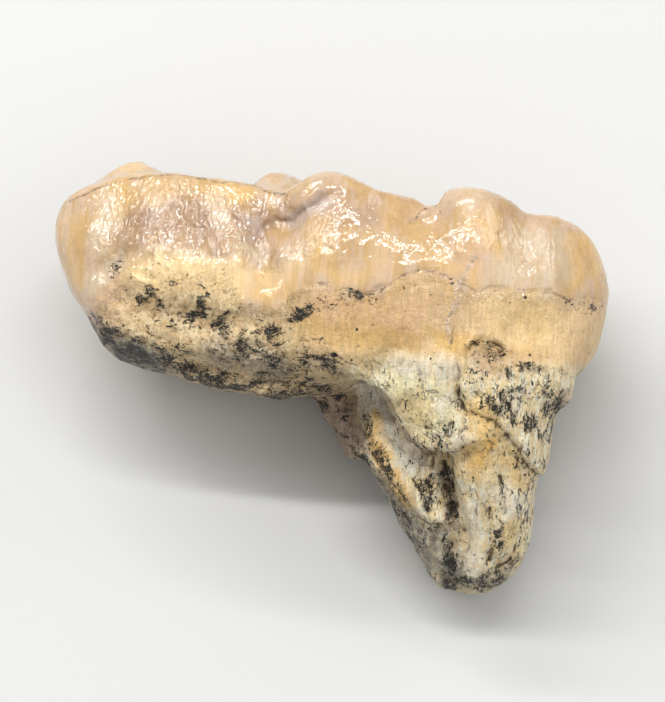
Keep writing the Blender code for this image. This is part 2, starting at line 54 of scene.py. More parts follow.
# Fine relief on the cheek side: height (below 0 for a groove), half width, path of (u, v) points.
FINE_STROKES = [
    # Folds and creases of the enamel.
    (-0.32, 0.32, [(-4.6, 12.2), (-4.0, 12.3), (-3.0, 13.1), (-1.8, 13.8), (-1.0, 14.4), (0.0, 14.9)]),
    (-0.25, 0.60, [(-5.0, 12.4), (-5.9, 11.2), (-6.4, 10.5), (-6.2, 9.4), (-6.0, 8.4)]),
    (-0.15, 0.50, [(-8.2, 12.6), (-7.3, 11.2), (-6.6, 10.4)]),
    (0.22, 0.50, [(-4.6, 12.9), (-3.4, 13.6), (-2.2, 14.4), (-1.2, 15.2)]),
    (-0.30, 0.40, [(7.4, 15.0), (7.3, 13.8), (6.8, 13.1), (5.9, 12.9)]),
    (-0.25, 0.35, [(7.5, 14.6), (8.0, 14.2), (8.2, 13.6)]),
    (0.20, 0.60, [(7.0, 13.7), (7.4, 13.2)]),
    (-0.14, 0.28, [
        (10.8, 10.4), (10.7, 9.8), (10.3, 9.1), (10.0, 8.3), (9.8, 7.3), (9.6, 6.4), (9.4, 4.9),
        (9.5, 3.3),
    ]),
    (-0.12, 0.28, [
        (-3.5, 6.5), (-2.3, 7.1), (-1.4, 7.5), (-0.6, 7.4), (0.5, 7.3), (2.0, 6.9), (2.8, 6.8),
        (3.5, 7.2),
    ]),
    (-0.14, 0.28, [(3.5, 7.2), (4.7, 7.9), (5.5, 8.5), (6.7, 8.9), (7.9, 9.0)]),
    (-0.10, 0.25, [(6.5, 7.7), (8.5, 8.0), (9.8, 8.4)]),
    (-0.13, 0.28, [
        (11.3, 7.4), (12.8, 7.8), (14.0, 7.9), (15.5, 7.8), (17.3, 8.0), (18.7, 7.4), (20.2, 7.8),
        (21.6, 7.4),
    ]),
    (0.12, 0.45, [(13.4, 7.2), (15.4, 7.3), (17.2, 7.2)]),
    (0.20, 0.90, [(-7.4, 9.8), (-7.2, 9.3)]),
    (-0.07, 0.80, [(-12.6, 14.6), (-12.9, 12.0), (-13.2, 9.8)]),
    (-0.07, 0.80, [(-15.6, 14.8), (-16.0, 12.0), (-16.2, 10.0)]),
    (-0.08, 0.80, [(-20.2, 13.0), (-20.4, 10.4), (-20.0, 7.4)]),
    (-0.06, 0.70, [(-8.9, 14.2), (-8.6, 12.0), (-8.4, 10.0)]),
    (-0.14, 0.80, [(15.0, 13.9), (15.1, 11.8), (15.2, 9.6)]),
    (-0.10, 0.60, [(19.7, 12.9), (20.3, 10.8), (20.2, 8.8)]),
    (-0.06, 0.70, [(12.9, 14.8), (13.1, 12.4), (13.0, 9.6)]),
    # The low swelling round the crown, and the knot at its front end.
    (0.30, 1.4, [(-4.8, 9.2), (-2.9, 9.5), (-1.5, 9.9), (0.2, 10.1)]),
    (-0.14, 1.3, [(-4.4, 11.6), (-2.6, 12.0), (-0.8, 12.4), (0.8, 12.4)]),
    (0.20, 1.4, [(1.4, 10.9), (2.6, 11.0), (4.2, 11.1), (6.6, 11.1), (9.0, 11.6), (10.8, 11.8)]),
    (0.12, 0.6, [
        (8.2, 11.6), (9.3, 12.2), (10.9, 12.5), (11.8, 12.0), (11.9, 10.9), (10.6, 10.4), (9.4, 10.5),
    ]),
    (0.10, 0.7, [(5.6, 9.4), (7.5, 10.0), (9.4, 10.6)]),
    (0.42, 1.6, [(-15.6, 7.8), (-13.9, 8.3), (-12.8, 8.6)]),
    (0.24, 1.6, [(-12.6, 8.6), (-10.2, 8.6), (-8.4, 8.2)]),
    (0.15, 1.4, [(-6.8, 7.4), (-5.6, 7.4), (-4.4, 7.4)]),
    (0.20, 0.9, [(-7.8, 8.2), (-6.1, 8.5), (-4.6, 9.4)]),
    # The enamel's edge at the rear, over the root.
    (0.20, 0.60, [(-18.9, 4.8), (-18.5, 5.7), (-17.8, 6.8), (-16.8, 7.8), (-15.8, 8.7), (-14.8, 9.3)]),
    (-0.25, 0.80, [(-18.5, 7.4), (-17.7, 8.0), (-17.0, 8.6)]),
    (0.15, 0.40, [(-17.9, 8.0), (-17.4, 7.6)]),
    (0.10, 0.40, [(-7.2, 5.6), (-6.3, 5.1), (-5.4, 5.1), (-4.2, 5.3)]),
    # The trunk: seams, flakes and a rounded pebble at its lower edge.
    (-0.20, 0.30, [(-11.4, 3.2), (-10.4, 3.5), (-9.2, 3.5), (-7.9, 4.6)]),
    (-0.30, 0.40, [(-11.4, 0.2), (-9.6, 0.2), (-8.0, -0.3), (-6.1, -0.7), (-3.4, -0.8), (-1.2, -0.7)]),
    (0.30, 0.80, [(-10.4, -0.4), (-9.0, -0.8)]),
    (0.25, 0.60, [(-5.6, -1.2), (-4.0, -1.3)]),
    (-0.12, 0.28, [(-8.0, 2.8), (-6.2, 2.2), (-4.6, 2.4), (-3.4, 1.8), (-2.2, 2.0)]),
    (-0.12, 0.28, [(-9.6, 2.2), (-7.4, 1.4), (-5.2, 1.4), (-3.0, 1.0), (-1.4, 0.4)]),
    (-0.12, 0.25, [(-7.6, 3.5), (-6.4, 3.2), (-5.0, 3.2), (-3.8, 2.8)]),
    (-0.12, 0.30, [(-16.2, 5.2), (-15.0, 3.4), (-14.4, 2.2)]),
    (-0.12, 0.30, [(-18.2, 3.8), (-16.6, 3.2), (-15.2, 3.0), (-13.6, 2.4)]),
    (-0.12, 0.30, [(-13.2, 1.0), (-11.8, 1.4), (-10.4, 1.2)]),
    (-0.10, 0.30, [(-6.2, 5.0), (-5.6, 4.0), (-5.9, 3.4)]),
    (-0.12, 0.30, [(-2.4, 3.0), (-0.4, 2.2), (1.2, 1.2), (2.4, 0.6)]),
    # The long root.
    (-0.30, 0.80, [(3.0, -0.9), (4.2, -2.1), (5.3, -3.7), (6.5, -5.1), (7.5, -5.9), (9.0, -6.2)]),
    (-0.28, 0.30, [
        (2.4, -1.6), (3.1, -3.0), (3.6, -4.7), (4.2, -6.3), (5.1, -7.6), (6.1, -8.8), (7.2, -10.0),
        (8.1, -10.8),
    ]),
    (-0.45, 0.50, [(9.4, -5.9), (9.7, -7.5), (10.1, -8.9), (10.6, -10.3)]),
    (-0.35, 0.45, [(10.5, 1.2), (10.4, 0.2), (10.6, -0.9), (10.8, -1.6)]),
    (-0.14, 0.22, [(13.4, -3.6), (14.0, -4.2), (14.7, -5.0), (15.4, -5.6)]),
    (-0.40, 0.40, [(10.9, 2.7), (11.4, 3.3), (12.2, 3.6), (13.0, 3.4), (13.8, 2.9), (14.4, 2.1)]),
    (0.20, 0.35, [(10.8, 3.3), (11.4, 4.0), (12.2, 4.2), (13.2, 4.0), (14.0, 3.5)]),
    (-0.14, 0.35, [(13.5, -9.5), (13.7, -11.2), (13.8, -13.8)]),
    (-0.20, 0.35, [(14.3, -14.5), (15.1, -14.0), (15.6, -13.4), (15.8, -11.6)]),
    (-0.20, 0.30, [(12.4, -8.0), (12.3, -10.0), (12.6, -12.2)]),
    (-0.18, 0.25, [(14.2, -7.0), (14.6, -8.6), (14.5, -9.8)]),
    (-0.18, 0.25, [(16.2, -7.6), (16.3, -9.6), (16.0, -11.0)]),
    (-0.20, 0.30, [(8.0, -3.4), (9.2, -3.2), (10.2, -3.0)]),
    (-0.22, 0.25, [(10.9, -2.8), (10.7, -4.0), (10.9, -4.9)]),
    (-0.20, 0.30, [(6.4, -6.8), (7.6, -8.2), (8.6, -9.4)]),
    (-0.16, 0.30, [(16.6, 0.4), (16.0, -1.2), (16.6, -2.8), (16.2, -4.4)]),
    (-0.18, 0.30, [(14.0, 1.4), (14.6, 0.2), (14.2, -1.0)]),
    (0.15, 0.50, [(5.6, 1.0), (6.2, 2.0)]),
    (-0.12, 0.25, [(6.6, 2.3), (6.9, 1.2), (7.3, 0.8)]),
    (-0.10, 0.25, [(5.4, 1.6), (5.8, 0.9)]),
]
# Edges of layers: the surface on the left of the path stands proud. Height, edge width, reach, path.
FINE_STEPS = [
    (0.35, 0.30, 1.2, [
        (2.5, 0.2), (3.6, -0.2), (4.4, -0.5), (5.0, -1.2), (5.5, -2.0), (6.1, -3.0), (6.7, -3.9),
        (7.3, -4.7), (8.2, -5.3), (9.5, -5.2), (10.6, -4.9), (11.3, -4.5),
    ]),
    (0.35, 0.30, 1.3, [
        (10.4, 1.0), (10.6, -0.9), (11.2, -1.8), (12.0, -1.9), (13.1, -2.1), (14.0, -2.8), (14.9, -3.9),
        (15.5, -4.6), (16.1, -5.7), (17.4, -6.8),
    ]),
    (0.30, 0.30, 1.2, [
        (4.5, -6.3), (5.4, -7.5), (6.4, -8.7), (7.5, -9.9), (8.3, -10.7), (9.1, -11.1), (9.9, -11.0),
    ]),
    (0.03, 0.5, 1.5, [
        (-19.4, 4.4), (-18.8, 4.9), (-17.8, 6.8), (-15.8, 8.7), (-14.0, 9.2), (-12.0, 8.7), (-10.0, 8.6),
        (-8.2, 8.0), (-7.4, 6.6), (-7.0, 5.7), (-6.3, 5.3), (-4.4, 5.4), (-3.6, 6.0),
    ]),
    (0.15, 0.30, 1.0, [(-13.0, 0.0), (-11.0, 0.1), (-8.2, -0.5), (-6.1, -1.0), (-1.6, -1.0)]),
]

# The enamel's lower edge, v against u, on each side.
CHEEK_EDGE = [
    (-21.5, 4.6), (-19.4, 4.4), (-18.8, 4.9), (-17.8, 6.8), (-16.8, 7.8), (-15.8, 8.7), (-14.0, 9.1),
    (-12.0, 8.7), (-10.0, 8.5), (-8.2, 7.9), (-7.5, 6.8), (-7.0, 5.7), (-6.3, 5.3), (-4.4, 5.4),
    (-3.7, 6.0), (-3.5, 6.5), (-2.3, 7.1), (-1.4, 7.5), (0.5, 7.3), (2.4, 6.8), (3.5, 7.2), (4.7, 7.9),
    (5.5, 8.5), (6.7, 8.9), (7.9, 8.9), (9.8, 8.3), (11.3, 7.5), (14.0, 7.9), (17.3, 7.9), (18.7, 7.4),
    (20.2, 7.8), (22.0, 7.2),
]
TONGUE_EDGE = [(-21.5, 4.6), (-12.0, 4.6), (0.0, 4.2), (12.0, 4.6), (22.0, 7.2)]

# Fine dark lines on the cheek side, partly painted shadow, and the pale crack, as paths of (u, v) points.
# The rim line is a painted shadow, where the far cusps begin behind the near rim.
RIM_LINE = [
    (-21.9, 12.9), (-20.3, 13.6), (-18.9, 14.3), (-17.3, 14.8), (-15.9, 15.2), (-14.4, 15.4), (-12.9, 15.4),
    (-10.7, 15.3), (-8.4, 15.0), (-7.0, 14.9), (-5.7, 14.6), (-4.2, 14.3),
]
# Hair lines lie in the drawn grooves and along the root's layer edges: partly dark cracks, partly painted
# shadow.
HAIRLINES = [
    [(-4.4, 12.4), (-4.0, 12.4), (-3.0, 13.1), (-1.8, 13.8), (-1.0, 14.4)],
    [(-6.3, 9.4), (-6.0, 8.7), (-5.8, 7.6)],
    [(7.4, 14.7), (7.3, 14.1), (6.4, 13.5), (6.1, 12.8)],
    [(7.4, 14.3), (8.0, 14.0), (8.2, 13.5)],
    [(-2.8, 6.7), (-1.4, 7.4), (0.5, 7.2), (2.0, 6.9)],
    [(2.6, 6.7), (3.5, 7.0), (4.7, 7.8), (5.5, 8.4), (6.7, 8.9), (7.7, 9.0)],
    [(-20.9, 4.9), (-20.3, 3.6), (-19.6, 3.0)],
    [(-9.6, 3.2), (-8.4, 3.4), (-7.7, 4.2), (-7.3, 5.2)],
    [(-15.6, 3.4), (-14.9, 2.2)],
    [(-2.4, 3.1), (-0.4, 2.2), (1.2, 1.4), (2.9, 0.9)],
    [(2.5, 0.0), (3.6, -0.4), (4.4, -0.8), (5.0, -1.5), (5.5, -2.3), (6.1, -3.3), (6.7, -4.2), (7.3, -5.0)],
    [(7.3, -5.0), (8.2, -5.6), (9.5, -5.5), (10.6, -5.2), (11.3, -4.7)],
    [(10.4, 2.4), (10.2, 1.0), (10.3, -0.4), (10.9, -1.6), (11.6, -2.1), (12.4, -2.2), (13.4, -2.6)],
    [(13.4, -2.6), (14.2, -3.4), (15.0, -4.4), (15.8, -5.5), (16.6, -6.5)],
    [(4.2, -6.1), (5.1, -7.5), (6.2, -8.8), (7.3, -10.1), (8.2, -11.0), (9.2, -11.5), (10.2, -11.2)],
    [(9.4, -6.0), (9.7, -7.5), (10.1, -8.9), (10.6, -10.3), (11.2, -11.3), (11.4, -12.6)],
    [(3.2, -4.2), (4.0, -6.2), (5.0, -7.6)],
    [(13.5, -9.8), (13.7, -11.2), (13.8, -13.2)],
    [(14.5, -14.4), (15.2, -13.8), (15.7, -13.0), (15.9, -11.6)],
    [(13.0, -4.0), (13.6, -4.6), (13.9, -5.6)],
    [(16.4, -7.4), (16.5, -9.2), (16.3, -10.8)],
    [(15.2, -8.0), (15.5, -9.6)],
    [(10.9, 3.0), (11.6, 3.6), (12.6, 3.7), (13.6, 3.4), (14.3, 2.7)],
]
CRACK = [(10.9, 10.3), (10.6, 9.5), (10.3, 8.8), (9.9, 8.0), (9.7, 7.0), (9.5, 6.0), (9.3, 4.9), (9.5, 3.6)]

# Colour zones on the cheek side: strength, radius, path of (u, v) points.
ZONES = {
    "ribbed": [
        (1.0, 3.6, [(-17.5, 12.0), (-13.0, 12.5), (-8.0, 12.0), (-5.0, 12.0)]),
        (1.0, 1.2, [(-15.4, 8.4), (-12.0, 9.2), (-8.0, 8.8), (-5.0, 9.2)]),
        (1.0, 1.6, [(-3.6, 10.2), (-1.6, 10.3), (-0.6, 10.6)]),
        (1.0, 1.2, [(-18.6, 6.8), (-17.6, 8.2)]),
        (0.4, 0.9, [(6.0, 9.6), (9.4, 10.7), (11.5, 12.0)]),
        (0.5, 2.2, [(13.4, 11.4), (17.6, 11.0)]),
    ],
    "mauve": [
        (0.8, 1.9, [(-15.7, 11.0), (-13.0, 11.9), (-10.3, 11.5)]),
        (0.7, 1.4, [(-14.1, 9.6), (-9.6, 9.9)]),
        (0.6, 1.1, [(-17.4, 9.1), (-16.6, 10.1)]),
        (0.9, 1.3, [(-7.3, 12.6), (-6.0, 11.7), (-6.6, 10.7)]),
        (0.6, 1.0, [(-5.0, 12.9), (-3.9, 13.5)]),
        (0.45, 1.6, [(-0.7, 13.5), (1.6, 13.1), (4.1, 13.5)]),
        (0.3, 1.3, [(12.6, 14.6), (14.4, 14.0)]),
    ],
    "pale": [
        # A weak pale band along the enamel's rear edge: painted highlight over the sparkling band there.
        (0.2, 0.8, [(-18.6, 6.8), (-17.4, 8.0), (-15.4, 8.9), (-12.0, 9.1), (-8.4, 8.7), (-7.6, 8.2)]),
        (0.8, 1.1, [(-18.9, 12.1), (-19.1, 10.3)]),
        (0.6, 0.9, [(-10.0, 13.4), (-9.5, 12.2)]),
        # A pale patch on the crown's front where a soft highlight lies: partly pale enamel, partly painted
        # highlight.
        (0.7, 1.4, [(15.4, 11.3), (17.1, 11.2)]),
        (0.6, 0.7, [(13.8, 11.8), (14.0, 10.4)]),
        (0.6, 0.7, [(-7.3, 10.0), (-7.0, 9.3)]),
        (0.5, 1.1, [(8.9, 15.4), (10.4, 15.1)]),
        (1.0, 0.9, [(-18.8, 6.6), (-18.2, 7.5), (-17.3, 8.2)]),
        (0.5, 1.0, [(13.6, 7.4), (17.0, 7.4)]),
        (0.5, 1.3, [(18.2, 4.5), (20.4, 5.5)]),
        (0.6, 1.3, [(12.8, 9.4), (17.6, 9.0)]),
    ],
    "honey": [
        (0.7, 1.2, [(-18.5, 16.8), (-15.9, 17.1)]),
        (0.45, 0.5, [(-9.2, 14.6), (-7.8, 14.5)]),
        (0.5, 1.1, [(-6.6, 7.0), (-4.8, 6.5)]),
        (0.5, 1.1, [(-0.4, 9.0), (1.4, 8.2)]),
        (0.35, 0.7, [(3.9, 14.0), (4.0, 10.8), (3.6, 8.4)]),
        (0.6, 1.0, [(11.7, 13.1), (12.0, 11.2)]),
        (0.4, 0.7, [(8.9, 9.7), (10.8, 8.3)]),
        (0.5, 0.6, [(18.9, 12.2), (19.2, 8.6)]),
        (0.45, 0.7, [(20.2, 12.7), (21.2, 10.6)]),
        (0.7, 0.9, [(8.7, 3.4), (11.0, 3.7)]),
        (0.35, 0.8, [(-17.9, 14.0), (-18.2, 11.9)]),
        (0.25, 0.7, [(-21.3, 11.4), (-21.4, 8.9), (-20.8, 6.6)]),
        (0.7, 1.3, [(12.2, -2.4), (12.6, -4.1), (12.3, -6.0)]),
        (1.0, 0.7, [(12.8, -4.0), (12.6, -5.6)]),
        (0.5, 1.0, [(14.4, -5.2), (15.7, -7.0)]),
        (0.8, 0.5, [(3.7, -3.2), (4.3, -5.1), (5.0, -6.9), (6.1, -8.3), (7.3, -9.8)]),
        (0.4, 1.0, [(7.3, -2.6), (6.5, -1.7)]),
        (0.4, 0.8, [(14.9, -12.0), (15.3, -10.4)]),
    ],
    "yellow": [
        (0.9, 1.3, [(-15.6, 7.2), (-13.0, 7.9), (-10.8, 7.9), (-8.4, 7.0)]),
        (0.7, 1.9, [(12.5, 5.8), (16.0, 5.4), (18.8, 4.4)]),
        (0.5, 1.0, [(-6.2, 7.2), (-4.4, 8.2), (-2.6, 9.0)]),
    ],
    "ochre": [
        (0.8, 1.2, [(-2.0, 3.9), (1.2, 3.4), (3.3, 3.3), (5.5, 3.4)]),
        (0.5, 0.9, [(8.5, 3.4), (10.5, 3.9)]),
        (0.4, 0.6, [(2.4, 11.8), (2.6, 9.6), (2.2, 8.0)]),
        (0.35, 0.5, [(-0.8, 10.6), (-1.0, 8.4)]),
        (0.35, 0.5, [(5.8, 12.2), (5.9, 9.8)]),
        (0.3, 1.2, [(-6.0, 6.3), (-4.2, 6.5)]),
        (0.4, 0.7, [(-9.6, 14.3), (-7.2, 14.2)]),
        (0.4, 1.0, [(-17.0, 13.6), (-14.0, 14.4), (-11.0, 14.5), (-8.6, 14.2)]),
    ],
    "lilac": [
        (0.9, 0.75, [(-3.9, 12.5), (-2.7, 13.1), (-1.1, 13.9)]),
        (0.5, 0.6, [(-7.4, 12.2), (-6.2, 11.4)]),
    ],
    "blush": [
        (0.6, 1.4, [(-0.1, 5.0), (3.1, 4.8), (7.0, 5.2)]),
        (0.5, 1.1, [(10.7, 9.8), (11.9, 10.4)]),
        (0.4, 1.4, [(-17.0, 6.4), (-18.2, 3.5)]),
        (0.5, 0.6, [(13.3, 1.8), (12.3, 1.4)]),
        (0.5, 0.8, [(18.6, 4.6), (19.5, 3.8)]),
    ],
    "green": [
        (0.8, 1.9, [(5.4, -0.2), (7.4, -1.1), (8.6, -2.2)]),
        (0.4, 0.8, [(15.2, -10.8), (15.6, -12.1)]),
        (0.4, 0.8, [(2.7, 0.6), (3.5, 0.4)]),
    ],
    "chalk_and_sheen": [
        (0.6, 1.0, [(5.3, 1.6), (7.2, 1.4)]),
        (0.7, 0.8, [(9.3, 2.0), (9.8, 1.1)]),
        (0.7, 0.6, [(10.8, -3.0), (10.8, -4.7)]),
        (0.7, 0.7, [(8.9, -1.8), (9.6, -1.0)]),
        (0.6, 1.0, [(14.2, -7.9), (15.5, -9.2)]),
        (0.6, 0.6, [(11.9, -9.4), (12.4, -12.2), (12.2, -14.7)]),
        # A painted silvery reflection along the trough beside the ledge.
        (1.0, 1.15, [(3.2, -1.2), (4.1, -2.7), (4.9, -4.0), (5.9, -5.4), (7.2, -6.4)]),
    ],
    "grey": [
        (1.0, 1.6, [(4.9, -8.6), (6.6, -11.3), (8.5, -13.9)]),
        (1.0, 1.4, [(9.4, -12.5), (10.3, -14.0), (10.9, -15.7)]),
        (0.5, 1.0, [(14.7, -15.0), (12.4, -16.2)]),
        (0.6, 1.5, [(-9.0, 1.4), (-6.4, 1.2), (-4.2, 0.4)]),
        (1.0, 1.5, [(-19.6, 2.8), (-18.6, 1.8), (-16.8, 0.9), (-14.4, 0.3)]),
        (0.35, 0.7, [(5.6, 1.4), (7.4, 0.9)]),
        (0.7, 0.7, [(3.7, -7.6), (5.0, -10.0), (6.0, -12.0)]),
        # Painted shade along the trunk's lower edge.
        (0.8, 1.1, [(-19.6, 2.0), (-17.0, 0.2), (-13.0, -1.4), (-8.0, -2.6), (-3.0, -3.0)]),
    ],
    "brown": [
        (0.8, 1.7, [(1.0, -2.4), (2.1, -5.0)]),
        (0.5, 0.4, [(2.6, -2.6), (3.3, -4.3), (4.2, -6.0)]),
        # Painted shadow under the ledge, along the trough's upper side.
        (0.6, 0.25, [(2.6, -0.2), (3.9, -0.9), (4.9, -2.2), (5.6, -3.3), (6.5, -4.3), (7.6, -5.1)]),
        (0.25, 1.0, [(11.9, 2.5), (13.5, 2.1)]),
        (0.5, 0.8, [(19.0, -0.4), (18.9, -2.1)]),
        (0.5, 0.6, [(9.7, -7.1), (10.3, -9.2), (10.9, -11.1)]),
    ],
    "specks": [
        # Along the trunk's lower edge: black stain laid thicker, partly painted shade of the underside.
        (1.0, 1.8, [(-18.7, 2.0), (-17.0, 0.8), (-15.3, 0.2), (-13.3, -0.6), (-11.0, -1.4)]),
        (0.6, 1.5, [(-0.3, -2.3), (1.0, -3.8), (2.0, -6.2)]),
        (0.9, 0.9, [(10.7, -16.1), (13.1, -15.8), (15.1, -15.0), (16.2, -13.5)]),
        (0.85, 1.0, [(3.9, -7.7), (5.0, -9.7), (6.3, -12.0), (7.4, -14.1), (8.7, -15.6)]),
        (0.5, 1.3, [(12.0, 2.1), (12.9, 1.9)]),
        # The next three, along the trunk's lower edge: black stain laid thicker, partly painted shade of
        # the underside.
        (1.0, 1.6, [(-17.9, 1.4), (-14.4, -0.2), (-10.3, -1.0), (-5.4, -1.5), (-0.2, -1.5)]),
        (1.0, 1.2, [(-16.0, -0.6), (-12.4, -1.6), (-8.0, -2.4), (-3.0, -2.6), (1.0, -2.4)]),
        (1.0, 1.5, [(-19.8, 3.0), (-18.4, 1.9), (-16.8, 1.0), (-14.8, 0.6), (-12.6, 0.0)]),
        (0.7, 0.9, [(0.2, -4.4), (1.0, -6.0), (1.9, -7.2)]),
        (0.75, 0.6, [(3.0, -3.4), (3.9, -5.4), (5.2, -7.4), (6.6, -9.2)]),
        (0.7, 0.8, [(7.6, -7.0), (8.4, -9.0), (9.0, -10.6)]),
        (1.0, 0.9, [(3.3, -7.0), (4.2, -9.0), (5.1, -10.6), (6.2, -12.4)]),
        (0.72, 2.1, [(-8.5, 2.0), (-5.3, 1.6), (-1.9, 1.7)]),
        (0.75, 1.0, [(-5.4, 3.5), (-4.3, 2.7)]),
        (0.7, 1.1, [(-0.9, 2.0), (0.8, 0.5)]),
        (0.9, 0.65, [(-15.2, 5.4), (-14.5, 6.1), (-14.0, 5.3)]),
        (0.6, 0.5, [(-14.3, 4.8), (-14.0, 3.9)]),
        (0.95, 0.6, [(-10.0, 5.8), (-10.4, 4.7), (-11.1, 4.2)]),
        (0.7, 0.4, [(-9.3, 3.7), (-8.4, 4.2), (-7.6, 5.2)]),
        (0.6, 0.4, [(-13.3, 6.9), (-12.8, 6.8)]),
        (0.6, 0.4, [(-8.7, 7.4), (-8.2, 7.0)]),
        (1.0, 0.6, [(-3.3, 4.7), (-2.3, 5.0), (-1.4, 5.4)]),
        (0.75, 0.8, [(-0.8, 5.9), (0.6, 6.1), (1.5, 6.4)]),
        (0.45, 0.6, [(2.3, 6.3), (3.3, 6.2)]),
        (0.5, 1.0, [(-16.8, 2.4), (-15.2, 2.1), (-13.1, 1.8)]),
        (0.55, 0.8, [(-17.9, 3.1), (-18.9, 2.3)]),
        (0.6, 1.1, [(-12.1, 1.5), (-10.3, 2.0)]),
        (0.5, 0.5, [(-6.3, 5.0), (-5.5, 4.1)]),
        (0.5, 1.0, [(7.6, -3.8), (9.3, -3.9), (10.6, -3.6)]),
        (0.5, 0.6, [(7.0, -4.6), (8.5, -5.3), (9.7, -5.1)]),
        (0.6, 1.0, [(7.4, -6.3), (8.9, -7.5), (9.8, -8.4)]),
        (0.95, 0.5, [(9.8, -6.6), (10.3, -8.6), (10.7, -10.3)]),
        (0.7, 0.7, [(8.6, -10.2), (9.6, -10.7)]),
        (0.7, 0.7, [(10.2, -12.8), (10.5, -15.0)]),
        (0.5, 1.1, [(8.5, -12.5), (6.3, -10.3)]),
        (0.65, 0.4, [(10.9, 2.9), (11.9, 3.4), (13.0, 3.3), (13.8, 2.8)]),
        (0.45, 1.0, [(11.4, 0.9), (12.8, 1.3)]),
        (0.85, 0.8, [(14.6, 1.4), (15.5, 1.6), (16.9, 1.5), (18.3, 1.5)]),
        (0.75, 1.3, [(13.4, 0.2), (15.0, 0.0), (14.8, -1.8)]),
        (0.85, 1.0, [(13.8, -1.8), (15.4, -2.2), (16.4, -2.6)]),
        (0.8, 1.1, [(17.8, 0.3), (18.3, -1.4), (17.6, -3.1)]),
        (0.75, 0.8, [(12.0, -1.0), (13.1, -1.7)]),
        (0.6, 0.6, [(10.5, -0.7), (10.8, -1.9), (11.6, -2.3)]),
        (0.7, 0.5, [(14.0, -7.1), (14.4, -8.8)]),
        (0.6, 0.8, [(14.0, -10.5), (14.5, -12.5), (13.8, -13.8)]),
        (0.55, 0.6, [(15.6, -8.0), (16.3, -10.4)]),
        (0.7, 0.6, [(15.1, -14.7), (16.0, -13.5)]),
        (0.4, 1.1, [(11.1, -15.2), (13.1, -15.9)]),
        (0.4, 0.6, [(18.4, 7.0), (21.8, 7.1)]),
        (0.35, 0.6, [(8.2, 8.9), (9.2, 8.5)]),
        (0.5, 0.6, [(-17.8, 7.0), (-17.2, 8.2)]),
        (0.3, 1.6, [(-16.1, 4.4), (-12.0, 3.9), (-8.0, 4.1)]),
        (0.25, 1.5, [(5.9, -2.2), (8.9, -0.4)]),
        (0.4, 1.6, [(15.6, -4.8), (16.5, -6.3)]),
        # Along the trunk's lower edge: black stain, partly painted shade of the underside.
        (1.0, 1.0, [(-20.0, 3.2), (-18.6, 1.8), (-16.6, 0.9), (-14.0, 0.2), (-11.0, -0.9)]),
        (0.4, 1.1, [(16.5, -12.0), (16.6, -9.6)]),
    ],
}
# Zones with a firm outline; the others fade out wider and drift more.
FIRM_ZONES = ("chalk_and_sheen", "grey", "brown", "specks", "lilac")

# The visible mesh: the even skin's voxels in millimetres, and the passes that soften its facets.
VOXEL = 0.35
SOFTEN_SHARE = 0.5
SOFTEN_PASSES = 10
# Faces turned at least this much to the cheek side are split once more, for the finest relief.
CHEEK_FACING = 0.12

# Hollows are found by smoothing the mesh: passes for narrow and wide ones, the share that each pass
# takes from the neighbours, and the depths in millimetres that count as full.
NEAR_PASSES, WIDE_PASSES = 6, 24
PASS_SHARE = 0.7
NEAR_DEPTH, WIDE_DEPTH = 0.10, 0.30

# Linear red, green and blue.
COLOURS = {
    "enamel": (0.585, 0.425, 0.295),
    "enamel_band": (0.55, 0.365, 0.18),
    "enamel_tan": (0.56, 0.38, 0.19),
    "enamel_cream": (0.62, 0.47, 0.33),
    "mauve": (0.28, 0.17, 0.11),
    "pale": (0.626, 0.507, 0.36),
    "trunk": (0.61, 0.43, 0.225),
    "trunk_light": (0.70, 0.545, 0.32),
    "trunk_fleck": (0.84, 0.68, 0.46),
    "neck": (0.665, 0.465, 0.262),
    "neck_gold": (0.61, 0.41, 0.19),
    "neck_light": (0.73, 0.55, 0.33),
    "long_root": (0.95, 0.74, 0.41),
    "long_root_light": (1.0, 0.87, 0.60),
    "long_root_white": (0.98, 0.95, 0.82),
    "long_root_fleck": (0.97, 0.92, 0.74),
    "green": (0.97, 0.90, 0.58),
    "grey_dark": (0.17, 0.15, 0.12),
    "grey_light": (0.46, 0.42, 0.34),
    "brown_dark": (0.28, 0.20, 0.15),
    "brown_light": (0.60, 0.45, 0.36),
    # Chalk: the grey-white patches, and the painted silvery reflection in the trough of the long root.
    "chalk_and_sheen": (0.95, 0.89, 0.76),
    "blush": (0.72, 0.45, 0.27),
    "honey": (0.80, 0.52, 0.19),
    # The honey colour on the long root is painted brighter, painted light against the shade under the
    # ledge.
    "honey_on_root": (1.0, 0.65, 0.22),
    "yellow": (0.88, 0.65, 0.34),
    "ochre": (0.60, 0.39, 0.135),
    "lilac": (0.50, 0.41, 0.37),
    "seam": (0.24, 0.13, 0.07),
    "crack": (0.44, 0.34, 0.30),
    "crack_pale": (0.80, 0.66, 0.56),
    "crack_dark": (0.12, 0.10, 0.09),
    # Dark cracks and painted shadow for the hair lines.
    "hairline_crack_and_shadow": (0.07, 0.05, 0.035),
    # Painted shadow along the rim.
    "rim_shadow_line": (0.12, 0.08, 0.05),
    # Dirt and painted shade for the hollows and the grooves.
    "hollow_dirt_and_shade": (0.36, 0.22, 0.11),
    "groove_dirt_and_shade": (0.13, 0.085, 0.05),
    "worn_crest": (0.92, 0.80, 0.60),
    "fine_crack": (0.10, 0.075, 0.05),
    "stain_halo": (0.33, 0.26, 0.16),
    "manganese": (0.009, 0.010, 0.011),
    "floor": (0.62, 0.62, 0.61),
    "sky": (1.0, 1.0, 1.0),
}

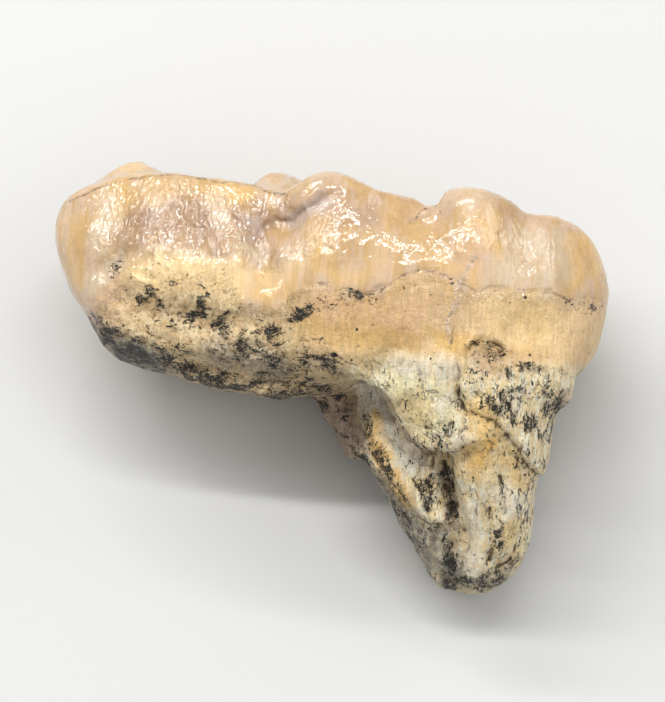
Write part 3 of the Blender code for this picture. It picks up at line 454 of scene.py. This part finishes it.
# Lamps: name, place and size in metres, and power in watts.
LAMPS = [
    ("key", (-0.30, 0.14, 0.40), (0.88, 0.018), 1.9),
    ("upper_left", (-0.26, 0.38, 0.40), (0.44, 0.020), 1.05),
    ("right", (0.45, 0.37, 0.40), (0.38, 0.20), 0.50),
    ("front", (0.10, -0.42, 0.60), (1.20, 0.80), 1.62),
    ("right_fill", (0.62, -0.02, 0.45), (0.60, 0.80), 1.85),
]
SKY_STRENGTH = 0.21
FLOOR_WIDTH = 30.0

# The camera's direction from the tooth, in degrees.
AZIMUTH = 3.79
ELEVATION = 70.0
# Its distance, and the width that the picture covers there, in metres; its sensor, in millimetres.
DISTANCE = 0.32
PICTURE_WIDTH = 0.05665
SENSOR_WIDTH = 36.0
# Where it aims, in metres: over the floor, then to the right and up in the picture.
AIM_OVER_FLOOR = 0.0115
AIM_RIGHT = 0.00060
AIM_UP = 0.00039


def profile(points, at):
    x, y = np.array(points, float).T
    return np.interp(at, x, y)


def path_distance(at, path):
    """Distances from points to a path, and whether each point is on the path's left."""
    nearest = np.full(len(at), np.inf)
    left = np.zeros(len(at), bool)
    path = np.array(path, float)
    for a, b in zip(path[:-1], path[1:]):
        way = b - a
        t = np.clip((at - a) @ way / (way @ way), 0, 1)
        off = at - a - t[:, None] * way
        gap = np.hypot(off[:, 0], off[:, 1])
        closer = gap < nearest
        nearest[closer] = gap[closer]
        left[closer] = (way[0] * off[:, 1] - way[1] * off[:, 0] > 0)[closer]
    return nearest, left


def smooth_step(low, high, value):
    t = np.clip((value - low) / (high - low), 0, 1)
    return t * t * (3 - 2 * t)


def noise_at(points, waves, octaves=1, seed=0.0):
    """Smooth noise between about -1 and 1; waves is the wave length, one for all axes or one for each."""
    between_octaves = 7.3
    total, weight, size = np.zeros(len(points)), 0.0, 1.0
    for octave in range(octaves):
        q = points * (size / np.array(waves, float)) + seed + between_octaves * octave
        total += np.array([noise.noise(Vector(p)) for p in q]) / size
        weight += 1 / size
        size *= 2
    return total / weight


def to_tooth(points):
    return (points * MM_PER_METRE - SHIFT) @ TURN


def to_row(points):
    return (points @ TURN.T + SHIFT) / MM_PER_METRE


def read_mesh(data):
    count = len(data.vertices)
    points, normals = np.empty(count * 3), np.empty(count * 3)
    data.vertices.foreach_get("co", points)
    data.vertex_normals.foreach_get("vector", normals)
    return points.reshape(-1, 3), normals.reshape(-1, 3)


def write_points(data, points):
    data.vertices.foreach_set("co", points.ravel())
    data.update()


def smooth_copy(node):
    """The node's solid in the tooth's frame, as an even fine mesh without facets."""
    mesh = bmesh.new()
    mesh.from_mesh(node.data)
    bmesh.ops.remove_doubles(mesh, verts=mesh.verts, dist=1e-7)
    data = bpy.data.meshes.new("tooth")
    mesh.to_mesh(data)
    mesh.free()
    points, _ = read_mesh(data)
    write_points(data, to_tooth(points))
    tooth = bpy.data.objects.new("tooth", data)
    bpy.context.scene.collection.objects.link(tooth)
    skin = tooth.modifiers.new("skin", "REMESH")
    skin.mode = "VOXEL"
    skin.voxel_size = VOXEL
    soften = tooth.modifiers.new("soften", "SMOOTH")
    soften.factor = SOFTEN_SHARE
    soften.iterations = SOFTEN_PASSES
    graph = bpy.context.evaluated_depsgraph_get()
    smooth = bpy.data.meshes.new_from_object(tooth.evaluated_get(graph))
    tooth.modifiers.clear()
    tooth.data = smooth
    mesh = bmesh.new()
    mesh.from_mesh(smooth)
    split = [edge for edge in mesh.edges if any(face.normal.z > CHEEK_FACING for face in edge.link_faces)]
    bmesh.ops.subdivide_edges(mesh, edges=split, cuts=1, use_grid_fill=True)
    mesh.to_mesh(smooth)
    mesh.free()
    return tooth


def wander(points, wave, reach):
    """A sideways drift of u and v in millimetres, so that paths and patches don't run true."""
    return reach * np.stack([noise_at(points, wave, 1, 11.0), noise_at(points, wave, 1, 29.0)], 1)


def chewing_share(points):
    """1 inside the rim of the chewing surface, 0 outside it."""
    return smooth_step(9.5, 11.5, points[:, 1]) * smooth_step(5.0, 3.8, points[:, 2])


def rear_share(points):
    """1 at the rear of the tooth, where the enamel fades into the trunk, and 0 further forward."""
    return smooth_step(-5.5, -8.5, points[:, 0])


def above_edge(points):
    """Height of each point over the enamel's lower edge."""
    u, v, w = points.T
    cheek, tongue = profile(CHEEK_EDGE, u), profile(TONGUE_EDGE, u)
    edge = tongue + (cheek - tongue) * smooth_step(-4.0, 2.0, w)
    return v - edge - 0.25 * noise_at(points, 1.6, 2, 3.0)


def drawn_relief(points, normals):
    """Height in millimetres of the drawn grooves, ridges and layer edges."""
    cheek = smooth_step(-0.05, 0.3, normals[:, 2]) * (1 - chewing_share(points))
    flat = points[:, :2] + wander(points, 0.9, 0.22) + wander(points, 2.6, 0.30)
    share = 0.6 + 0.4 * smooth_step(3.5, 1.0, points[:, 1])
    vary = np.clip(0.75 + 1.6 * noise_at(points, 1.5, 2, 33.0), 0.15, 1.3)
    height = np.zeros(len(points))
    for rise, half_width, path in FINE_STROKES:
        gap, _ = path_distance(flat, path)
        height += share * rise * vary * cheek * np.clip(1 - (gap / half_width) ** 2, 0, 1) ** 2
    for rise, edge, reach, path in FINE_STEPS:
        gap, left = path_distance(flat, path)
        proud = smooth_step(-edge / 2, edge / 2, np.where(left, gap, -gap))
        height += rise * (0.5 + 0.5 * vary) * cheek * proud * (1 - smooth_step(reach / 3, reach, gap))
    return height


def grain_relief(points):
    """Height in millimetres of the root's crags, fibres and pits and of the enamel's low waves."""
    above = above_edge(points)
    rear = rear_share(points)
    enamel = smooth_step(-1.5, 0.3, above) * (1 - rear) + smooth_step(-3.6, 0.3, above) * rear
    long_root = smooth_step(2.0, -1.0, points[:, 1]) * smooth_step(2.0, 5.0, points[:, 0])
    neck = smooth_step(-4.5, -0.5, points[:, 0]) * smooth_step(1.0, 3.0, points[:, 1])
    lumps = 0.18 * noise_at(points, 3.0, 2, 1.0)
    grain = 0.20 * noise_at(points, 1.1, 3, 5.0)
    fibres = 0.24 * noise_at(points, (0.7, 3.2, 0.7), 3, 9.0)
    pits = -0.18 * smooth_step(0.25, 0.55, noise_at(points, 0.9, 2, 17.0))
    craggy = lumps + grain * (1 - 0.3 * long_root) + fibres * (0.3 + 0.7 * long_root)
    craggy += pits * (1 - 0.85 * long_root)
    waves = 0.03 * noise_at(points, (1.8, 5.0, 1.8), 2, 21.0)
    wrinkles = 0.012 * noise_at(points, (0.6, 0.9, 0.6), 1, 25.0)
    return (1 - enamel) * craggy * (1 - 0.75 * neck) + enamel * (waves + wrinkles)


def add_fine_relief(tooth):
    points, normals = read_mesh(tooth.data)
    height = drawn_relief(points, normals) + grain_relief(points)
    write_points(tooth.data, points + normals * height[:, None])


def hollows(data):
    """How far each vertex lies in a narrow and in a wide hollow, from 0 to 1; below 0 on a crest."""
    points, normals = read_mesh(data)
    edges = np.empty(len(data.edges) * 2, int)
    data.edges.foreach_get("vertices", edges)
    a, b = edges.reshape(-1, 2).T
    count = np.bincount(a, minlength=len(points)) + np.bincount(b, minlength=len(points))
    mean, depths = points.copy(), []
    for done in range(1, WIDE_PASSES + 1):
        total = np.zeros_like(mean)
        for k in range(3):
            total[:, k] = np.bincount(a, mean[b, k], len(points)) + np.bincount(b, mean[a, k], len(points))
        mean = (1 - PASS_SHARE) * mean + PASS_SHARE * total / count[:, None]
        if done in (NEAR_PASSES, WIDE_PASSES):
            depths.append(np.einsum("ij,ij->i", mean - points, normals))
    near, wide = depths
    return np.clip(near / NEAR_DEPTH, -1, 1), np.clip(wide / WIDE_DEPTH, -1, 1)


def set_mask(data, name, values):
    layer = data.attributes.new(name, "FLOAT", "POINT")
    layer.data.foreach_set("value", np.clip(values, -1, 1).astype(np.float32))


def line_masks(data, points, cheek, outside):
    """Distances in millimetres, up to 1, to the drawn lines, and 1 where no line is wanted."""
    drift = points[:, :2] + wander(points, 1.2, 0.25)
    hair = np.min([path_distance(drift, path)[0] for path in HAIRLINES], axis=0)
    crack, _ = path_distance(drift, CRACK)
    rim, _ = path_distance(drift, RIM_LINE)
    set_mask(data, "line_gap", np.where(outside > 0.3, hair, 1.0))
    set_mask(data, "crack_gap", np.where(outside > 0.3, crack, 1.0))
    set_mask(data, "rim_gap", np.where(cheek > 0.1, rim, 1.0))


def zone_share(name, flat, drifting):
    """How strongly each point lies in a colour zone, from 0 to 1."""
    at, inner, outer = (flat, 0.35, 1.35) if name in FIRM_ZONES else (drifting, 0.0, 1.8)
    share = np.zeros(len(at))
    for strength, radius, path in ZONES[name]:
        gap, _ = path_distance(at, path)
        share = np.maximum(share, strength * smooth_step(outer * radius, inner * radius, gap))
    return share


def hidden_stains(points, cheek):
    """Black specks for the root on the sides that the zones don't reach."""
    root = 1 - smooth_step(-0.2, 0.2, above_edge(points))
    low = smooth_step(4.0, -1.0, points[:, 1])
    blots = smooth_step(-0.1, 0.5, noise_at(points, 5.0, 2, 71.0))
    return root * (1 - cheek) * (0.25 + 0.5 * blots + 0.2 * low)


def paint_masks(tooth):
    """Masks for the material, one value a vertex."""
    data = tooth.data
    points, normals = read_mesh(data)
    cheek = smooth_step(-0.1, 0.25, normals[:, 2])
    chewing = chewing_share(points)
    near, wide = hollows(data)
    set_mask(data, "crease", np.clip(near, 0, 1))
    set_mask(data, "crest", np.clip(-near, 0, 1))
    set_mask(data, "hollow", np.clip(wide, 0, 1))
    above = above_edge(points)
    set_mask(data, "edge", above / 3)
    set_mask(data, "blend", above / (3 + 4 * rear_share(points)))
    line_masks(data, points, cheek, cheek * (1 - chewing))
    flat = points[:, :2] + wander(points, 2.2, 0.5) + wander(points, 0.8, 0.25)
    drifting = flat + wander(points, 3.0, 0.9) + wander(points, 1.2, 0.4)
    for name in ZONES:
        share = zone_share(name, flat, drifting) * cheek
        if name != "honey":
            share *= 1 - 0.7 * chewing
        if name == "specks":
            share = np.maximum(share, hidden_stains(points, cheek))
        set_mask(data, name, share)
    u, v = flat.T
    set_mask(data, "long_root", smooth_step(2.8, 0.8, v) * smooth_step(1.0, 3.5, u))
    set_mask(data, "trunk", smooth_step(-2.0, -6.0, u))
    set_mask(data, "neck", smooth_step(-4.5, -0.5, u) * smooth_step(1.4, 2.8, v))


def colour(name):
    return (*COLOURS[name], 1.0)


class Nodes:
    """Short calls that build the tooth's node tree, and the noises and borders that its parts share."""

    def __init__(self, tree):
        self.tree = tree
        # Object coordinates turned back to the tooth's axes, in millimetres.
        place = self.add("ShaderNodeTexCoord").outputs["Object"]
        back = {"Vector": place, "Scale": (MM_PER_METRE,) * 3, "Rotation": (-LEAN, 0.0, 0.0)}
        self.at = self.add("ShaderNodeMapping", back).outputs[0]
        self.large = self.noise(self.at, 0.22, 3.0, 0.55)
        self.middle = self.noise(self.at, 0.8, 5.0, 0.6, 0.4)
        self.small = self.noise(self.at, 3.2, 4.0, 0.6)
        self.fine = self.noise(self.at, 5.0, 3.0, 0.6, 0.3)
        self.threads = self.noise(self.stretch((3.4, 0.5, 3.4)), 1.0, 3.0, 0.6)
        self.tone = self.ramp(self.middle, 0.42, 0.58)
        self.flecks = self.ramp(self.small, 0.44, 0.60)
        self.over = self.mask("edge")
        uneven = self.ramp(self.middle, 0.3, 0.7, -0.10, 0.10)
        self.on_enamel = self.ramp(self.plus(self.over, uneven), -0.30, 0.06)

    def add(self, kind, inputs=(), **settings):
        node = self.tree.nodes.new(kind)
        for key, value in settings.items():
            setattr(node, key, value)
        for key, value in dict(inputs).items():
            self.put(node.inputs[key], value)
        return node

    def put(self, socket, value):
        if isinstance(value, bpy.types.NodeSocket):
            self.tree.links.new(value, socket)
        else:
            socket.default_value = value

    def mask(self, name):
        return self.add("ShaderNodeAttribute", attribute_name=name).outputs["Fac"]

    def math(self, operation, a, b=0.0, clamp=False):
        return self.add("ShaderNodeMath", {0: a, 1: b}, operation=operation, use_clamp=clamp).outputs[0]

    def plus(self, a, b, clamp=False):
        return self.math("ADD", a, b, clamp)

    def minus(self, a, b):
        return self.math("SUBTRACT", a, b)

    def times(self, a, b, clamp=False):
        return self.math("MULTIPLY", a, b, clamp)

    def larger(self, a, b):
        return self.math("MAXIMUM", a, b)

    def smaller(self, a, b):
        return self.math("MINIMUM", a, b)

    def without_sign(self, a):
        return self.math("ABSOLUTE", a)

    def mix(self, share, a, b):
        return self.add("ShaderNodeMix", {0: share, 2: a, 3: b}, data_type="FLOAT").outputs[0]

    def blend(self, share, a, b):
        return self.add("ShaderNodeMix", {0: share, 6: a, 7: b}, data_type="RGBA").outputs[2]

    def scaled(self, colours, factor):
        return self.add("ShaderNodeVectorMath", {0: colours, "Scale": factor}, operation="SCALE").outputs[0]

    def noise(self, at, scale, detail=3.0, roughness=0.5, distortion=0.0, output="Fac"):
        inputs = {"Vector": at, "Scale": scale, "Detail": detail, "Roughness": roughness}
        inputs["Distortion"] = distortion
        return self.add("ShaderNodeTexNoise", inputs).outputs[output]

    def stretch(self, scale, shift=(0.0, 0.0, 0.0), at=None):
        inputs = {"Vector": at or self.at, "Scale": scale, "Location": shift}
        return self.add("ShaderNodeMapping", inputs).outputs[0]

    def ramp(self, value, low, high, low_to=0.0, high_to=1.0):
        inputs = {"Value": value, "From Min": low, "From Max": high, "To Min": low_to, "To Max": high_to}
        return self.add("ShaderNodeMapRange", inputs, interpolation_type="SMOOTHSTEP").outputs[0]


def enamel_colour(n):
    bands = n.noise(n.stretch((0.85, 0.16, 0.5)), 1.0, 3.0, 0.6, 0.3)
    enamel = n.blend(n.ramp(bands, 0.42, 0.58), colour("enamel"), colour("enamel_band"))
    enamel = n.blend(n.ramp(n.large, 0.45, 0.7, 0.0, 0.5), enamel, colour("enamel_tan"))
    enamel = n.blend(n.ramp(n.small, 0.45, 0.75, 0.0, 0.35), enamel, colour("enamel_cream"))
    mauve = n.times(n.mask("mauve"), n.ramp(n.middle, 0.25, 0.6, 0.55, 1.0))
    enamel = n.blend(mauve, enamel, colour("mauve"))
    # Pale patches; the band along the rear enamel edge and the patch on the crown's front are partly
    # painted highlight.
    return n.blend(n.mask("pale"), enamel, colour("pale"))


def trunk_colour(n):
    trunk = n.blend(n.tone, colour("trunk"), colour("trunk_light"))
    return n.blend(n.times(n.flecks, 0.4), trunk, colour("trunk_fleck"))


def neck_colour(n):
    neck = n.blend(n.ramp(n.large, 0.42, 0.60), colour("neck"), colour("neck_gold"))
    return n.blend(n.times(n.tone, 0.4), neck, colour("neck_light"))


def long_root_colour(n):
    streaks = n.noise(n.stretch((2.4, 0.45, 2.4), (3.0, 6.0, 2.0)), 1.0, 3.0, 0.6, 0.5)
    root = n.blend(n.ramp(streaks, 0.42, 0.58), colour("long_root"), colour("long_root_light"))
    root = n.blend(n.times(n.ramp(streaks, 0.54, 0.64), 0.7), root, colour("long_root_white"))
    return n.blend(n.times(n.flecks, 0.3), root, colour("long_root_fleck"))


def root_colour(n):
    root = n.blend(n.mask("neck"), trunk_colour(n), neck_colour(n))
    root = n.blend(n.mask("long_root"), root, long_root_colour(n))
    root = n.blend(n.times(n.mask("green"), 0.8), root, colour("green"))
    # Grey patches; the one along the trunk's lower edge is painted shade.
    grey = n.times(n.mask("grey"), n.ramp(n.middle, 0.3, 0.55, 0.6, 1.0))
    grey_tone = n.blend(n.ramp(n.small, 0.35, 0.65), colour("grey_dark"), colour("grey_light"))
    root = n.blend(grey, root, grey_tone)
    # Brown patches; the thin one along the ledge is painted shadow.
    brown_tone = n.blend(n.ramp(n.middle, 0.35, 0.65), colour("brown_dark"), colour("brown_light"))
    root = n.blend(n.mask("brown"), root, brown_tone)
    # Chalk patches, one of them a painted silvery reflection along the trough.
    chalk_and_sheen = n.times(n.mask("chalk_and_sheen"), n.ramp(n.threads, 0.35, 0.6, 0.4, 1.0))
    return n.blend(chalk_and_sheen, root, colour("chalk_and_sheen"))


def skin_colour(n):
    """Enamel and root with the colour patches that lie on both."""
    uneven = n.ramp(n.middle, 0.3, 0.7, -0.15, 0.15)
    share = n.ramp(n.plus(n.mask("blend"), uneven), -0.36, 0.10)
    skin = n.blend(share, root_colour(n), enamel_colour(n))
    skin = n.blend(n.times(n.mask("blush"), 0.8), skin, colour("blush"))
    # On the long root the honey patches are painted brighter, painted light against the shade there.
    long_root = n.mask("long_root")
    honey = n.times(n.mask("honey"), n.ramp(long_root, 0.0, 1.0, 0.8, 1.0))
    skin = n.blend(honey, skin, n.blend(long_root, colour("honey"), colour("honey_on_root")))
    skin = n.blend(n.times(n.mask("yellow"), 0.85), skin, colour("yellow"))
    skin = n.blend(n.times(n.mask("ochre"), 0.8), skin, colour("ochre"))
    return n.blend(n.times(n.mask("lilac"), 0.8), skin, colour("lilac"))


def add_lines(n, skin):
    """The seam along the enamel's edge, the pale crack, the hair lines (dark cracks and painted shadow) and
    the rim line (painted shadow).
    """
    seam = n.plus(n.without_sign(n.over), n.ramp(n.small, 0.3, 0.7, -0.02, 0.02))
    seam = n.times(n.ramp(seam, 0.012, 0.040, 1.0, 0.0), n.ramp(n.middle, 0.46, 0.54))
    seam = n.times(seam, n.mask("neck"))
    skin = n.blend(n.times(seam, 0.55), skin, colour("seam"))
    crack = n.plus(n.mask("crack_gap"), n.ramp(n.small, 0.3, 0.7, -0.15, 0.15))
    crack = n.ramp(crack, 0.05, 0.30, 1.0, 0.0)
    crackle = n.blend(n.ramp(n.fine, 0.50, 0.60), colour("crack"), colour("crack_pale"))
    crackle = n.blend(n.ramp(n.middle, 0.56, 0.62, 0.0, 0.9), crackle, colour("crack_dark"))
    skin = n.blend(n.times(crack, 0.55), skin, crackle)
    fray = n.ramp(n.small, 0.3, 0.7, -0.05, 0.05)
    # Hair lines: dark cracks and painted shadow in the grooves and under the layer edges.
    hairs = n.ramp(n.plus(n.mask("line_gap"), fray), 0.01, 0.10, 1.0, 0.0)
    hairs = n.times(hairs, n.ramp(n.middle, 0.44, 0.54, 0.1, 0.9))
    skin = n.blend(hairs, skin, colour("hairline_crack_and_shadow"))
    # The rim line: painted shadow where the far cusps begin behind the rim.
    rim = n.ramp(n.plus(n.mask("rim_gap"), fray), 0.01, 0.12, 1.0, 0.0)
    rim = n.times(rim, n.ramp(n.middle, 0.40, 0.60, 0.35, 0.75))
    return n.blend(rim, skin, colour("rim_shadow_line"))


def add_dirt_shade_and_wear(n, skin):
    """Dirt and painted shade in the hollows and grooves, pale worn crests, and a fine grain over all."""
    clean = n.minus(1.0, n.mask("chalk_and_sheen"))
    # Hollows darkened: dirt together with painted shade.
    hollowed = n.times(n.mask("hollow"), n.times(clean, 0.3))
    skin = n.blend(hollowed, skin, colour("hollow_dirt_and_shade"))
    # Creases darkened: dirt together with painted shade, less on the enamel and the trunk.
    ragged = n.plus(n.mask("crease"), n.times(n.minus(n.fine, 0.5), 1.2))
    grooved = n.times(n.ramp(ragged, 0.25, 0.80), n.ramp(n.mask("crease"), 0.1, 0.3))
    grooved = n.times(grooved, n.ramp(n.on_enamel, 0.2, 1.0, 0.85, 0.15))
    grooved = n.times(grooved, clean)
    grooved = n.times(grooved, n.minus(1.0, n.times(n.mask("trunk"), 0.6)))
    skin = n.blend(grooved, skin, colour("groove_dirt_and_shade"))
    crest = n.times(n.mask("crest"), n.ramp(n.on_enamel, 0.0, 1.0, 0.28, 0.08))
    skin = n.blend(crest, skin, colour("worn_crest"))
    grain = n.times(n.minus(n.fine, 0.5), n.ramp(n.on_enamel, 0.0, 1.0, 0.5, 0.25))
    thready = n.times(n.minus(n.threads, 0.5), n.ramp(n.on_enamel, 0.0, 1.0, 0.65, 0.4))
    return n.scaled(skin, n.plus(n.plus(grain, thready), 1.0))


def fine_cracks(n):
    """A net of short, fine cracks on the long root and the trunk."""
    warp = n.noise(n.at, 1.1, 3.0, output="Color")
    bent = n.add("ShaderNodeMix", {0: 0.45, 4: n.at, 5: warp}, data_type="VECTOR").outputs[1]
    cells = {"Vector": n.stretch((1.3, 0.7, 1.3), at=bent), "Scale": 1.3}
    borders = n.add("ShaderNodeTexVoronoi", cells, feature="DISTANCE_TO_EDGE").outputs["Distance"]
    patchy = n.ramp(n.noise(n.at, 0.9, 3.0, 0.6), 0.52, 0.60)
    net = n.times(n.ramp(borders, 0.010, 0.045, 1.0, 0.0), patchy)
    net = n.times(net, n.larger(n.mask("long_root"), n.times(n.mask("trunk"), 0.6)))
    return n.times(net, n.ramp(n.on_enamel, 0.0, 0.5, 0.7, 0.0))


def stain_density(n):
    """How thick the black stains lie: -1 or so and less where it's clean, about 0 where they are thick."""
    bare = n.ramp(n.over, -0.4, 0.05, 0.12, -0.5)
    bare = n.minus(bare, n.times(n.mask("neck"), 0.25))
    # Speck zones along the trunk's lower edge stand partly for painted shade of the underside.
    specks = n.plus(n.times(n.mask("specks"), 3.0), -0.5)
    specks = n.smaller(specks, n.mask("specks"))
    patchy = n.times(n.minus(n.noise(n.at, 0.55, 2.0, 0.6, 0.6), 0.5), 4.0)
    specks = n.plus(specks, n.times(patchy, n.mask("specks")))
    return n.minus(n.larger(specks, bare), 1.0)


def stain_lines(n, density):
    """Thin curling veins of the black stain."""
    veins = n.noise(n.stretch((0.8, 1.1, 1.0), (2.0, 9.0, 4.0)), 1.1, 5.0, 0.6, 2.2)
    veins = n.without_sign(n.minus(veins, 0.5))
    curls = n.noise(n.stretch((0.7, 1.2, 1.0), (7.0, 1.0, 3.0)), 2.4, 3.0, 0.6, 2.5)
    veins = n.smaller(veins, n.without_sign(n.minus(curls, 0.47)))
    return n.times(n.ramp(veins, 0.008, 0.026, 1.0, 0.0), n.ramp(density, -0.5, 0.0))


def black_stains(n):
    """Shares of the black stain, in blots, dots and veins, and of the brown halo round its blots."""
    density = stain_density(n)
    swirl = n.noise(n.stretch((0.85, 1.35, 1.0)), 1.6, 9.0, 0.74, 0.9)
    streak = n.noise(n.stretch((2.8, 1.0, 2.8), (5.0, 3.0, 1.0)), 1.0, 8.0, 0.74, 0.5)
    pattern = n.mix(n.mask("long_root"), swirl, streak)
    broken = n.times(n.minus(n.small, 0.5), 0.14)
    blots = n.plus(n.plus(pattern, broken), n.times(density, 0.13))
    grains = n.noise(n.at, 5.5, 3.0, 0.6, 0.3)
    dots = n.plus(grains, n.times(density, 0.16))
    black = n.larger(n.ramp(blots, 0.493, 0.510), n.ramp(dots, 0.545, 0.565))
    black = n.times(black, n.ramp(n.fine, 0.55, 0.64, 1.0, 0.15))
    black = n.larger(black, n.times(stain_lines(n, density), 0.8))
    cells = n.add("ShaderNodeTexVoronoi", {"Vector": n.at, "Scale": 0.55}).outputs["Distance"]
    pepper = n.plus(cells, n.ramp(n.large, 0.35, 0.65, 0.12, -0.02))
    pepper = n.times(n.ramp(pepper, 0.05, 0.08, 1.0, 0.0), n.ramp(n.on_enamel, 0.2, 0.6, 1.0, 0.0))
    return n.larger(black, pepper), n.ramp(blots, 0.470, 0.505)


def set_shine(n, shader, gloss):
    rough = n.mix(n.on_enamel, 0.50, 0.46)
    rough = n.plus(rough, n.ramp(n.small, 0.3, 0.7, -0.08, 0.10), clamp=True)
    n.put(shader.inputs["Roughness"], rough)
    coat = n.plus(n.ramp(gloss, 0.0, 1.0, 0.45, 1.0), n.mask("chalk_and_sheen"), clamp=True)
    coat = n.times(coat, n.ramp(n.middle, 0.40, 0.56, 0.6, 1.0), clamp=True)
    n.put(shader.inputs["Coat Weight"], coat)
    n.put(shader.inputs["Specular IOR Level"], n.ramp(n.on_enamel, 0.0, 1.0, 0.30, 0.25))
    shader.inputs["Coat Roughness"].default_value = 0.03
    shader.inputs["Coat IOR"].default_value = 1.7
    shader.inputs["Subsurface Weight"].default_value = 0.05
    shader.inputs["Subsurface Radius"].default_value = (1.0, 0.6, 0.35)
    shader.inputs["Subsurface Scale"].default_value = 0.0007


def enamel_height(n):
    """Ripples all over, and wrinkles where it's ribbed, which break up the highlights."""
    ribbed = n.mask("ribbed")
    ribs = n.noise(n.stretch((1.5, 0.65, 1.15)), 1.0, 1.0, 0.5, 0.8)
    ribs = n.times(ribs, n.ramp(ribbed, 0.0, 1.0, 0.02, 0.23))
    ripples = n.noise(n.at, 2.5, 1.0, 0.5, 1.0)
    ripples = n.times(ripples, n.ramp(ribbed, 0.0, 1.0, 0.032, 0.07))
    return n.plus(ribs, ripples)


def root_height(n):
    """Crags, grit and fibres of the root cement, lower on the neck and the trunk."""
    crags = n.times(n.noise(n.at, 1.8, 6.0, 0.7, 0.3), 0.45)
    grit = n.times(n.noise(n.at, 5.5, 4.0, 0.65), 0.16)
    fibre = n.times(n.noise(n.stretch((4.5, 1.0, 4.5)), 1.0, 4.0, 0.65), 0.32)
    sparkle = n.times(n.noise(n.at, 4.0, 2.0, 0.6, 0.5), n.ramp(n.mask("chalk_and_sheen"), 0.3, 1.0, 0.0, 0.35))
    height = n.plus(n.plus(n.plus(grit, fibre), crags), sparkle)
    smoother = n.minus(1.0, n.times(n.mask("neck"), 0.65))
    smoother = n.minus(smoother, n.times(n.mask("trunk"), 0.55))
    return n.times(height, smoother)


def tooth_material():
    material = bpy.data.materials.new("fossil_enamel_and_root")
    material.use_nodes = True
    n = Nodes(material.node_tree)
    shader = material.node_tree.nodes["Principled BSDF"]

    net = fine_cracks(n)
    black, halo = black_stains(n)
    skin = add_dirt_shade_and_wear(n, add_lines(n, skin_colour(n)))
    skin = n.blend(net, skin, colour("fine_crack"))
    skin = n.blend(n.times(halo, 0.30), skin, colour("stain_halo"))
    skin = n.blend(n.times(black, 0.96), skin, colour("manganese"))
    n.put(shader.inputs["Base Color"], skin)

    uneven = n.ramp(n.small, 0.3, 0.7, -0.08, 0.08)
    gloss = n.ramp(n.plus(n.mask("blend"), uneven), -0.34, 0.0)
    gloss = n.larger(gloss, n.ramp(n.mask("ribbed"), 0.15, 0.6))
    set_shine(n, shader, gloss)

    height = n.mix(gloss, root_height(n), enamel_height(n))
    height = n.minus(height, n.times(black, 0.03))
    height = n.minus(height, n.times(net, 0.05))
    bump = n.add("ShaderNodeBump", {"Height": height, "Strength": 1.0, "Distance": 0.001}).outputs[0]
    n.put(shader.inputs["Normal"], bump)
    n.put(shader.inputs["Coat Normal"], bump)
    return material


def make_tooth():
    tooth = smooth_copy(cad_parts[NODE])
    add_fine_relief(tooth)
    paint_masks(tooth)
    points, _ = read_mesh(tooth.data)
    write_points(tooth.data, to_row(points))
    tooth.data.shade_smooth()
    tooth.data.materials.clear()
    tooth.data.materials.append(tooth_material())
    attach(tooth, "root")
    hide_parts(NODE)


def make_floor():
    bpy.ops.mesh.primitive_plane_add(size=FLOOR_WIDTH)
    floor = bpy.context.object
    floor.name = "floor"
    material = bpy.data.materials.new("pale_floor")
    material.use_nodes = True
    shader = material.node_tree.nodes["Principled BSDF"]
    shader.inputs["Base Color"].default_value = colour("floor")
    shader.inputs["Roughness"].default_value = 0.9
    floor.data.materials.append(material)


def make_lamp(name, place, size, power):
    data = bpy.data.lights.new(name, "AREA")
    data.shape = "RECTANGLE"
    data.size, data.size_y = size
    data.energy = power
    lamp = bpy.data.objects.new(name, data)
    bpy.context.scene.collection.objects.link(lamp)
    lamp.location = place
    # The lamp's width runs along X, and it leans toward the tooth.
    lamp.rotation_euler = (-math.atan2(place[1], place[2]), 0.0, 0.0)


def make_sky():
    world = bpy.data.worlds.new("studio")
    world.use_nodes = True
    world.node_tree.nodes["Background"].inputs["Color"].default_value = colour("sky")
    world.node_tree.nodes["Background"].inputs["Strength"].default_value = SKY_STRENGTH
    bpy.context.scene.world = world


def make_camera():
    azimuth, elevation = math.radians(AZIMUTH), math.radians(ELEVATION)
    back = Vector((
        math.sin(azimuth) * math.cos(elevation),
        -math.cos(azimuth) * math.cos(elevation),
        math.sin(elevation),
    ))
    right = Vector((math.cos(azimuth), math.sin(azimuth), 0.0))
    data = bpy.data.cameras.new("camera")
    data.sensor_width = SENSOR_WIDTH
    data.lens = SENSOR_WIDTH * DISTANCE / PICTURE_WIDTH
    data.clip_start = 0.01
    camera = bpy.data.objects.new("camera", data)
    bpy.context.scene.collection.objects.link(camera)
    target = Vector((0.0, 0.0, AIM_OVER_FLOOR)) + right * AIM_RIGHT + back.cross(right) * AIM_UP
    camera.location = target + back * DISTANCE
    camera.rotation_euler = (-back).to_track_quat("-Z", "Y").to_euler()
    bpy.context.scene.camera = camera


make_tooth()
make_floor()
for lamp in LAMPS:
    make_lamp(*lamp)
make_sky()
make_camera()
bpy.context.scene.view_settings.view_transform = "Standard"
bpy.context.scene.view_settings.look = "Medium High Contrast"
